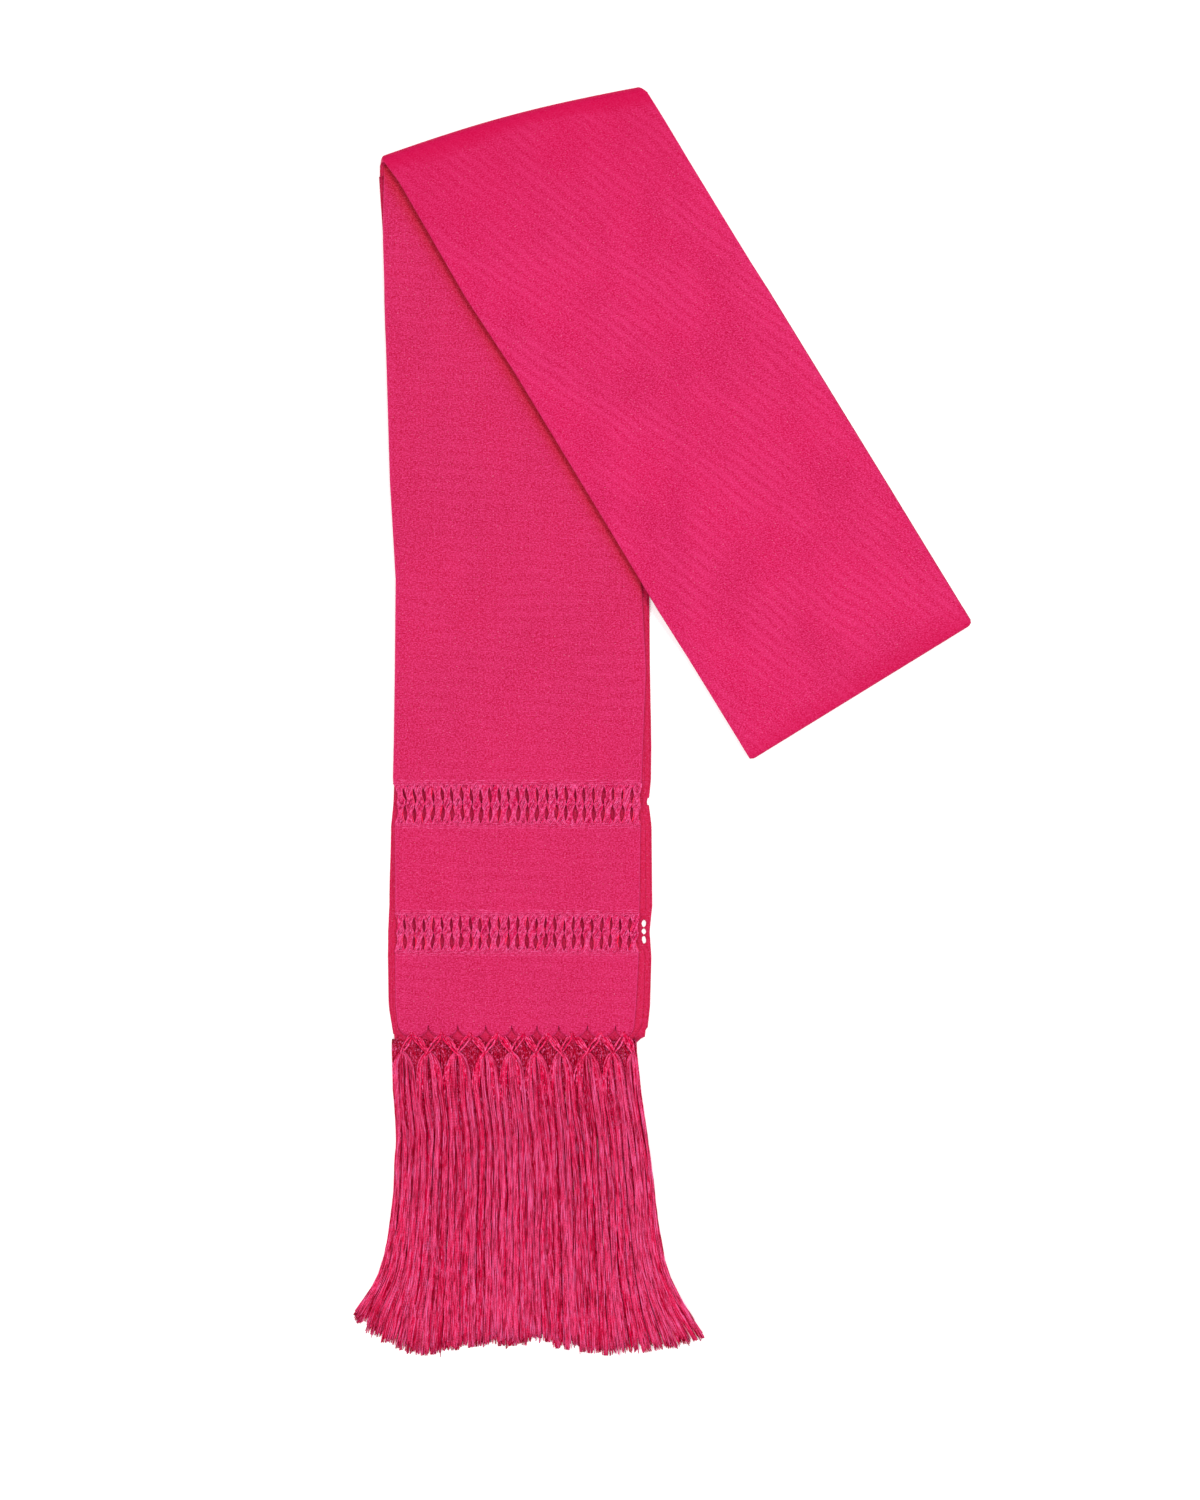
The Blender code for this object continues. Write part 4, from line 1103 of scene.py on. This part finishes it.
class REBOZO_OT_slanted_cloth(Operator):
    """Makes the slanted leg's showing layer, wrapped round the crease and round its far end."""

    bl_idname = "rebozo.slanted_cloth"
    bl_label = "Slanted cloth"

    def execute(self, context):
        sizes, colours = context.scene.rebozo_sizes, context.scene.rebozo_colours
        width = (CREASE_RIGHT - CREASE_LEFT).length
        edge = [distance for distance, _ in CURL] + [2.8, 3.5]
        far_edge = [width - distance for distance in reversed(edge)]
        columns = [*edge, *np.linspace(6.5, width - 6.5, 56), *far_edge]
        points, uvs, edges, tauts = [], [], [], []
        rows = 0
        for across in columns:
            u, edge_distance = across / width, min(across, width - across)
            path = np.array(showing_path(u, corner_trim(edge_distance)))
            rows = len(path)
            run = np.gradient(path[:, :2], axis=0)
            run /= np.linalg.norm(run, axis=1, keepdims=True)
            inward = np.stack([run[:, 1], -run[:, 0]], -1)
            shifted = path[:, :2] + inward * float(curl_drop(edge_distance))
            steps = np.linalg.norm(np.diff(path[:, :2], axis=0), axis=1)
            arc_length = np.concatenate([[0], np.cumsum(steps)])
            for i in range(rows):
                place = slanted_place(u, shifted[i, 0], path[i, 2])
                points.append((place.x, place.y, shifted[i, 1]))
                uvs.append((across, -arc_length[i]))
                edges.append(0.25 * edge_light(edge_distance))
                past = max(path[i, 0] - 3.0, 0.0)
                at_crease = math.exp(-(past / (12.0 + 2.5 * math.sin(across / 23))) ** 4)
                at_crease = max(at_crease, 0.4 * math.exp(-(past / 75) ** 2))
                at_end = math.exp(-(max(path[:, 0].max() - path[i, 0], 0.0) / 7) ** 2)
                tauts.append(max(at_crease, 0.6 * at_end))
        points = np.array(points).reshape(len(columns), rows, 3).transpose(1, 0, 2)
        uvs = np.array(uvs).reshape(len(columns), rows, 2).transpose(1, 0, 2)
        rise = press_creases(SLANTED_CREASES, points[:, :, 0], points[:, :, 1], sizes.crease_strength)
        on_top = np.array([1.0 if 12 <= i < rows - 8 else 0.0 for i in range(rows)])[:, None]
        points[:, :, 2] = np.maximum(points[:, :, 2] + rise * on_top, 0.0)
        edges, tauts = (np.array(values).reshape(len(columns), rows).T for values in (edges, tauts))
        sheet = Grids()
        sheet.add(points, uvs, edge=edges, taut=tauts)
        finish = weave_material("slanted leg weave", colours.slanted_cloth, SLANTED_FINISH)
        cloth = sheet.build("slanted_cloth", finish)
        make_thin_cloth(cloth, sizes.cloth_thickness)
        place_piece(cloth, "slanted_cloth", "slanted_panel")
        return {"FINISHED"}


# Net and fringe

def middles(places):
    return [(a + b) / 2 for a, b in zip(places, places[1:])]


def net_places():
    """Tips and crossings of the upper and the lower net."""
    left, right = leg_edges(SCALLOP_TOP)
    tips = middles([left, *NOTCHES, right])
    upper_crossings = [UPPER_NET_ENDS[0], *middles(tips), UPPER_NET_ENDS[1]]
    lower_crossings = [LOWER_NET_START, *[tip + LOWER_NET_SHIFT for tip in tips]]
    lower_crossings = sorted(lower_crossings + middles(lower_crossings))
    return (tips, upper_crossings), (middles(lower_crossings), lower_crossings)


def cells(crossings):
    """Left and right limits of the stretch of fringe that hangs from each crossing."""
    left, right = FRINGE_LEVELS[0][1], FRINGE_LEVELS[0][2]
    between = middles(crossings)
    return list(zip([left, *between], [*between, right]))


def fringe_edges(y, first=1):
    """The left and right edge of the fringe's core. With first 3, how far its outer strands flare out."""
    return table_column(FRINGE_LEVELS, y, first), table_column(FRINGE_LEVELS, y, first + 1)


def across_fringe(share, y):
    """The x of places across the fringe, with the flare of its two sides."""
    left, right = fringe_edges(y)
    flare_left, flare_right = fringe_edges(y, 3)
    x = left + share * (right - left)
    x = x - flare_left * np.clip(1 - share / FLARE_SHARE, 0, 2) ** 2
    return x + flare_right * np.clip(1 - (1 - share) / FLARE_SHARE, 0, 2) ** 2


class REBOZO_OT_net(Operator):
    """Makes the knotted net: arms of cords that leave the scallops' tips, cross, arch over and hang."""

    bl_idname = "rebozo.net"
    bl_label = "Knotted net"

    def execute(self, context):
        sizes, colours = context.scene.rebozo_sizes, context.scene.rebozo_colours
        finish = yarn_material("net yarn", colours.yarn, NET_TWIST)
        upper, lower = net_places()
        counts = (sizes.net_cords, 28, 6)
        # The lower net's low brightness (0.1 against the upper net's 0.95) is painted shade, as it lies under
        # the upper net
        self.make_net("upper_net", *upper, (4.9, SCALLOP_TOP - 5.6, NET_CROSSING), 0.95, counts, finish)
        self.make_net("lower_net", *lower, (3.0, SCALLOP_TOP - 9.0, LOWER_CROSSING), 0.1, (4, 20, 5), finish)
        return {"FINISHED"}

    def make_net(self, name, tips, crossings, heights, brightness, counts, finish):
        """One net. heights are its level over the table, and the y of its cords' starts and crossings.
        counts are the cords in an arm, the rings along a cord and a cord's sides."""
        level, top, crossing_y = heights
        cords, rings, sides = counts
        generator = np.random.default_rng(FRINGE_SEED + int(level * 10))
        paths, radii, shades = [], [], []
        limits = cells(crossings)
        for number, tip in enumerate(tips):
            for way, target in ((-1, number), (1, number + 1)):
                crossing = crossings[target] + generator.uniform(-0.4, 0.4)
                low, high = limits[target]
                reach = (crossing - low if way < 0 else high - crossing) * 0.78
                over = 0.75 if (target + (way > 0)) % 2 else -0.35
                for i in range(cords):
                    spread = (i + 0.5) / cords - 0.5
                    bunch = -1 if i % 2 else 1
                    start_y = top + generator.uniform(-0.8, 0.8)
                    end_y = crossing_y - generator.uniform(22, 40)
                    y = np.concatenate([np.linspace(start_y, crossing_y, 11),
                                        np.linspace(crossing_y, end_y, rings - 10)[1:]])
                    down = np.clip((start_y - y) / (start_y - crossing_y), 0, 1)
                    below = np.maximum(crossing_y - y, 0)
                    fanned = 0.55 + 0.9 * (spread + 0.5) * (0.6 + 0.4 * generator.random())
                    cord_reach = max(reach * fanned, 0.6)
                    turn_length = 0.6 * cord_reach / max(abs(crossing - tip), 4.0) * (start_y - crossing_y)
                    x = tip + spread * 3.4 * (1 - down) + (crossing - tip) * down
                    x = x + way * cord_reach * (1 - np.exp(-below / max(turn_length, 2.5)))
                    x += bunch * 1.75 * np.sin(np.pi * (0.12 + 0.76 * down))
                    x += spread * 1.6 * np.sin(np.pi * down) * way
                    x += 0.2 * np.sin(y * 0.9 + generator.uniform(0, 6))
                    side_left, side_right = fringe_edges(y)
                    x = np.clip(x, side_left + 0.4, side_right - 0.4)
                    z = level + over * np.exp(-((y - crossing_y) / 4.0) ** 2)
                    z += 0.55 * np.sin(down * np.pi * 2 + i * 2.4) - 0.35 * spread
                    z -= ramp(below, 12, 22) * 1.5
                    z = np.maximum(z, 0.55)
                    paths.append(np.stack([x, y, z], -1))
                    radius = np.full(rings, 0.54 + generator.uniform(-0.08, 0.08))
                    radius[-4:] *= np.array([0.95, 0.8, 0.6, 0.4])
                    radii.append(radius)
                    # brightness scales every cord's shade; low for the lower net as painted shade
                    shades.append((0.62 + 0.38 * generator.random() - 0.4 * (i % 3 == 0)) * brightness)
        shifts = generator.uniform(0, PATTERN_SHIFT, len(paths))
        net = build_tubes(name, np.array(paths), np.array(radii), sides, np.array(shades), finish, shifts)
        place_piece(net, "fringe_yarn")


class REBOZO_OT_fringe(Operator):
    """Makes the fringe: fine yarns gathered at the crossings into strands, loose and ragged at their ends."""

    bl_idname = "rebozo.fringe"
    bl_label = "Fringe"

    def execute(self, context):
        sizes, colours = context.scene.rebozo_sizes, context.scene.rebozo_colours
        finish = yarn_material("fringe yarn", colours.yarn, FRINGE_TWIST)
        upper, lower = net_places()
        # The lower fringe's lower brightness is painted shade, for yarns that lie under the upper fringe
        levels = (("upper_fringe", upper[1], 4.1, NET_CROSSING + 1.0, 0.84, (4, sizes.strand_yarns, 29), 0.0),
                  ("lower_fringe", lower[1], 1.8, LOWER_CROSSING + 5.5, 0.52, (3, 30, 22), 0.93))
        for name, crossings, level, top, brightness, counts, spread in levels:
            half = len(crossings) // 2
            limits = cells(crossings)
            for side, chosen in (("left", range(half)), ("right", range(half, len(crossings)))):
                places = [(crossings[i], *limits[i]) for i in chosen]
                setting = (level, top, brightness, counts, spread)
                part = self.make_part(f"{name}_{side}", places, setting, sizes, finish)
                place_piece(part, "fringe_yarn", name)
        return {"FINISHED"}

    def make_part(self, name, places, setting, sizes, finish):
        """The yarns that hang from some crossings. setting is their level, the y of their top, their shade,
        which is lower for the lower fringe as painted shade of the yarns under the upper fringe, the counts
        of strands at a crossing, yarns in a strand and rings along a yarn, and how far the strands are spread
        at their top already, which also darkens the lower fringe's top with painted shade."""
        level, top, brightness, (strands, yarns, rings), spread = setting
        generator = np.random.default_rng(FRINGE_SEED + len(name) * 7 + int(level * 10))
        per_cell = strands * yarns
        count = len(places) * per_cell
        crossing, low, high = (np.repeat(values, per_cell) for values in zip(*places))
        strand = np.tile(np.repeat(np.arange(strands), yarns), len(places))
        tufts = count // TUFT_YARNS + 1

        def for_strand(least, most):
            return np.repeat(generator.uniform(least, most, len(places) * strands), yarns)

        def for_tuft(values):
            return np.repeat(values, TUFT_YARNS)[:count]

        def share_at(place):
            return (low + place * cell_width - left) / (right - left)

        strand_shift = for_strand(-0.12, 0.12)
        strand_level = for_strand(-0.5, 0.5)
        strand_shade = for_strand(-0.16, 0.16)
        gather = for_strand(0.4, 0.95)
        angle = generator.uniform(0, 2 * np.pi, count)
        radius = np.sqrt(generator.random(count))
        in_cell = (strand + 0.5 + strand_shift) / strands
        cell_width = high - low
        _, left, right, *_ = FRINGE_LEVELS[0]
        in_strand = for_tuft(generator.random(tufts)) + generator.normal(0, 0.06, count)
        loose_share = share_at((strand + in_strand) / strands)
        even_share = share_at((strand + generator.random(count)) / strands)
        tight_share = share_at(in_cell)

        ends = table_column(FRINGE_ENDS, loose_share, 1)
        ragged = generator.gamma(1.5, 1.7, count) - 2.6
        clump = np.repeat(generator.normal(0, 2.0, len(places) * strands), yarns)
        clump += np.repeat(generator.normal(0, 0.8, len(places)), per_cell)
        clump += for_tuft(generator.gamma(1.2, 2.6, tufts) - 1.8)
        long_ones = (generator.random(count) < 0.012) * generator.uniform(1, 4, count)
        ends = ends + np.clip(ragged + clump, -4.0, 14) - long_ones
        step = np.linspace(0, 1, rings) ** 1.35
        start = top - generator.random(count) * 2.0
        y = start[:, None] + (ends - start)[:, None] * step

        below = top - y
        slow = ramp(below, 18, 170)
        slow = slow * slow * (3 - 2 * slow) * gather[:, None]
        loosen = np.clip(slow + (1 - gather[:, None]) * ramp(below, 0, 60), 0, 1)
        loosen = np.maximum(loosen, spread)
        gathered = ramp(below, 90, 90) * 0.15 if spread else 0.7
        loose = even_share[:, None] + (loose_share - even_share)[:, None] * gathered
        share = tight_share[:, None] * (1 - loosen) + loose * loosen
        hanging = across_fringe(share, y)
        strand_radius = cell_width[:, None] / strands * np.where(below < 60, 0.36 + 0.1 * below / 60, 0.46)
        hanging = hanging + strand_radius * (radius * np.cos(angle))[:, None] * (1 - loosen)
        turning = np.exp(-np.maximum(below, 0) / (2.4 + 7.5 * np.abs(in_cell - 0.5))[:, None])
        arch = 1 - (1 - spread) * turning
        x = crossing[:, None] + 1.2 * (radius * np.cos(angle))[:, None]
        x = x * (1 - arch) + hanging * arch
        phase_a, phase_b = generator.uniform(0, 2 * np.pi, (2, count, 1))
        length_a, length_b = generator.uniform(20, 50, (count, 1)), generator.uniform(3.5, 7, (count, 1))
        sway = np.clip(below / 120, 0.15, 1)
        x = x + sway * (0.6 * np.sin(y / length_a + phase_a) + 0.3 * np.sin(y / length_b + phase_b))
        rope_phase = for_strand(0, 2 * np.pi)[:, None]
        x = x + (1 - spread) * ramp(below, 0, 40) * 0.9 * np.sin(y / 17 + rope_phase) * (1 - 0.6 * loosen)
        stray = (generator.random((count, 1)) < 0.06) * generator.normal(0, 3.0, (count, 1))
        x = x + stray * ramp(below, 130, 70) ** 2

        height = level + 0.5 * strand_level + 1.15 * radius * np.sin(angle)
        z = height[:, None] + 0.9 * np.exp(-((below - 6) / 9.0) ** 2) * (1 - np.abs(in_cell - 0.5))[:, None]
        settle = ramp(below, 60, 140)
        flat = level - 0.3 + for_tuft(generator.uniform(-1.1, 0.8, tufts))
        flat = flat + generator.uniform(-0.25, 0.25, count)
        z = z * (1 - settle) + flat[:, None] * settle
        z = z * (1 - 0.38 * ramp(below, 110, 95) ** 2)
        z = np.maximum(z + 0.2 * np.sin(y / length_b + phase_a), 0.5)

        radii = np.full((count, rings), sizes.yarn_radius / MM * (1 + 0.25 * spread))
        radii *= generator.uniform(0.8, 1.2, (count, 1))
        radii *= 1 + 0.2 * settle
        radii[:, -2:] *= np.array([0.95, 0.75])
        # Painted shade: yarns at a strand's sides and underside get darker shades, as if shaded by the strand
        # itself
        painted_rope_shade = (radius * np.abs(np.cos(angle))) ** 2 + 0.6 * np.maximum(-radius * np.sin(angle), 0)
        shades = generator.normal(brightness + 0.16, 0.15, count) + strand_shade - 0.5 * painted_rope_shade
        shades = np.clip(shades + for_tuft(generator.normal(0, 0.2, tufts)), 0.05, 1.0)
        # Painted shade: the lower fringe is darkened near its top, under the net and the upper fringe, and
        # lightened towards its ends, where the upper fringe no longer covers it
        shades = shades[:, None] + 0.2 * (spread > 0) * ramp(below, 110, 80)
        shades = shades * (1 - 1.05 * spread * np.exp(-below / 34))
        shifts = generator.uniform(0, PATTERN_SHIFT, count)
        return build_tubes(name, np.stack([x, y, z], -1), radii, 3, shades, finish, shifts)


# Stage

class REBOZO_OT_stage(Operator):
    """Makes the plain table, the soft studio light and the camera that looks straight down."""

    bl_idname = "rebozo.stage"
    bl_label = "Table, light and camera"

    def execute(self, context):
        scene = context.scene
        self.make_table(scene.rebozo_colours.table)
        self.make_lights(scene)
        camera = bpy.data.objects.new("camera", bpy.data.cameras.new("camera"))
        scene.collection.objects.link(camera)
        camera.location = (-0.0427, -0.021, CAMERA_HEIGHT)
        camera.data.sensor_fit = "VERTICAL"
        camera.data.sensor_height = 36.0
        camera.data.lens = camera.data.sensor_height * CAMERA_HEIGHT / VIEW_HEIGHT
        camera.data.clip_end = 20.0
        scene.camera = camera
        scene.view_settings.view_transform = "Standard"
        return {"FINISHED"}

    def make_table(self, colour):
        size = 2500.0
        corners = [(-size, -size, -0.3), (size, -size, -0.3), (size, size, -0.3), (-size, size, -0.3)]
        table = build_mesh("table", corners, [np.array([[0, 1, 2, 3]])])
        made = bpy.data.materials.new("pale table")
        made.use_nodes = True
        nodes = NodeMaker(made.node_tree)
        shader = made.node_tree.nodes["Principled BSDF"]
        shader.inputs["Specular IOR Level"].default_value = 0.1
        shader.inputs["Roughness"].default_value = 0.9
        shader.inputs["Emission Color"].default_value = (1.0, 1.0, 1.0, 1.0)
        shader.inputs["Emission Strength"].default_value = 0.22
        grain = nodes.noise(nodes.make("TexCoord").outputs["Object"], 40.0, 4.0, 0.5)
        darker = tint(colour, 0.012, (0.0, 0.0, 0.0))
        mixed = nodes.mix(nodes.range(grain, 0.3, 0.7), darker, (*colour, 1.0))
        nodes.link(mixed, shader.inputs["Base Color"])
        table.data.materials.append(made)

    def make_lights(self, scene):
        world = bpy.data.worlds.new("studio")
        world.use_nodes = True
        background = world.node_tree.nodes["Background"]
        background.inputs["Color"].default_value = (1.0, 1.0, 1.0, 1.0)
        background.inputs["Strength"].default_value = 0.72
        scene.world = world
        for name, place, size, power in LIGHTS:
            lamp = bpy.data.lights.new(name, "AREA")
            lamp.shape = "DISK"
            lamp.size = size
            lamp.energy = power
            lamp_object = bpy.data.objects.new(name, lamp)
            lamp_object.location = place
            aim = Vector((-0.04, -0.02, 0.0)) - Vector(place)
            lamp_object.rotation_euler = aim.to_track_quat("-Z", "Y").to_euler()
            scene.collection.objects.link(lamp_object)


# A step that does nothing

class REBOZO_OT_state_cloth(Operator):
    """A step that does nothing: it only finishes."""

    bl_idname = "rebozo.state_cloth"
    bl_label = "State the cloth"

    def execute(self, context):
        return {"FINISHED"}


STEPS = (
    REBOZO_OT_straight_cloth,
    REBOZO_OT_openwork,
    REBOZO_OT_slanted_cloth,
    REBOZO_OT_straight_layers,
    REBOZO_OT_slanted_layers,
    REBOZO_OT_net,
    REBOZO_OT_fringe,
    REBOZO_OT_stage,
    REBOZO_OT_state_cloth,
)


class REBOZO_PT_sidebar(Panel):
    """The rebozo's sizes, colours and steps."""

    bl_idname = "REBOZO_PT_sidebar"
    bl_label = "Rebozo"
    bl_space_type = "VIEW_3D"
    bl_region_type = "UI"
    bl_category = "Rebozo"

    def draw(self, context):
        for group in (context.scene.rebozo_sizes, context.scene.rebozo_colours):
            box = self.layout.box()
            for name in group.bl_rna.properties.keys():
                if name not in ("rna_type", "name"):
                    box.prop(group, name)
        for step in STEPS:
            self.layout.operator(step.bl_idname)


CLASSES = (RebozoSizes, RebozoColours, *STEPS, REBOZO_PT_sidebar)


def register():
    for made in CLASSES:
        bpy.utils.register_class(made)
    bpy.types.Scene.rebozo_sizes = PointerProperty(type=RebozoSizes)
    bpy.types.Scene.rebozo_colours = PointerProperty(type=RebozoColours)


def unregister():
    del bpy.types.Scene.rebozo_sizes
    del bpy.types.Scene.rebozo_colours
    for made in reversed(CLASSES):
        bpy.utils.unregister_class(made)


def main():
    register()
    bpy.ops.rebozo.straight_cloth()
    bpy.ops.rebozo.openwork()
    bpy.ops.rebozo.slanted_cloth()
    bpy.ops.rebozo.straight_layers()
    bpy.ops.rebozo.slanted_layers()
    bpy.ops.rebozo.net()
    bpy.ops.rebozo.fringe()
    bpy.ops.rebozo.stage()
    bpy.ops.rebozo.state_cloth()
    bpy.context.view_layer.update()


if __name__ == "__main__":
    main()
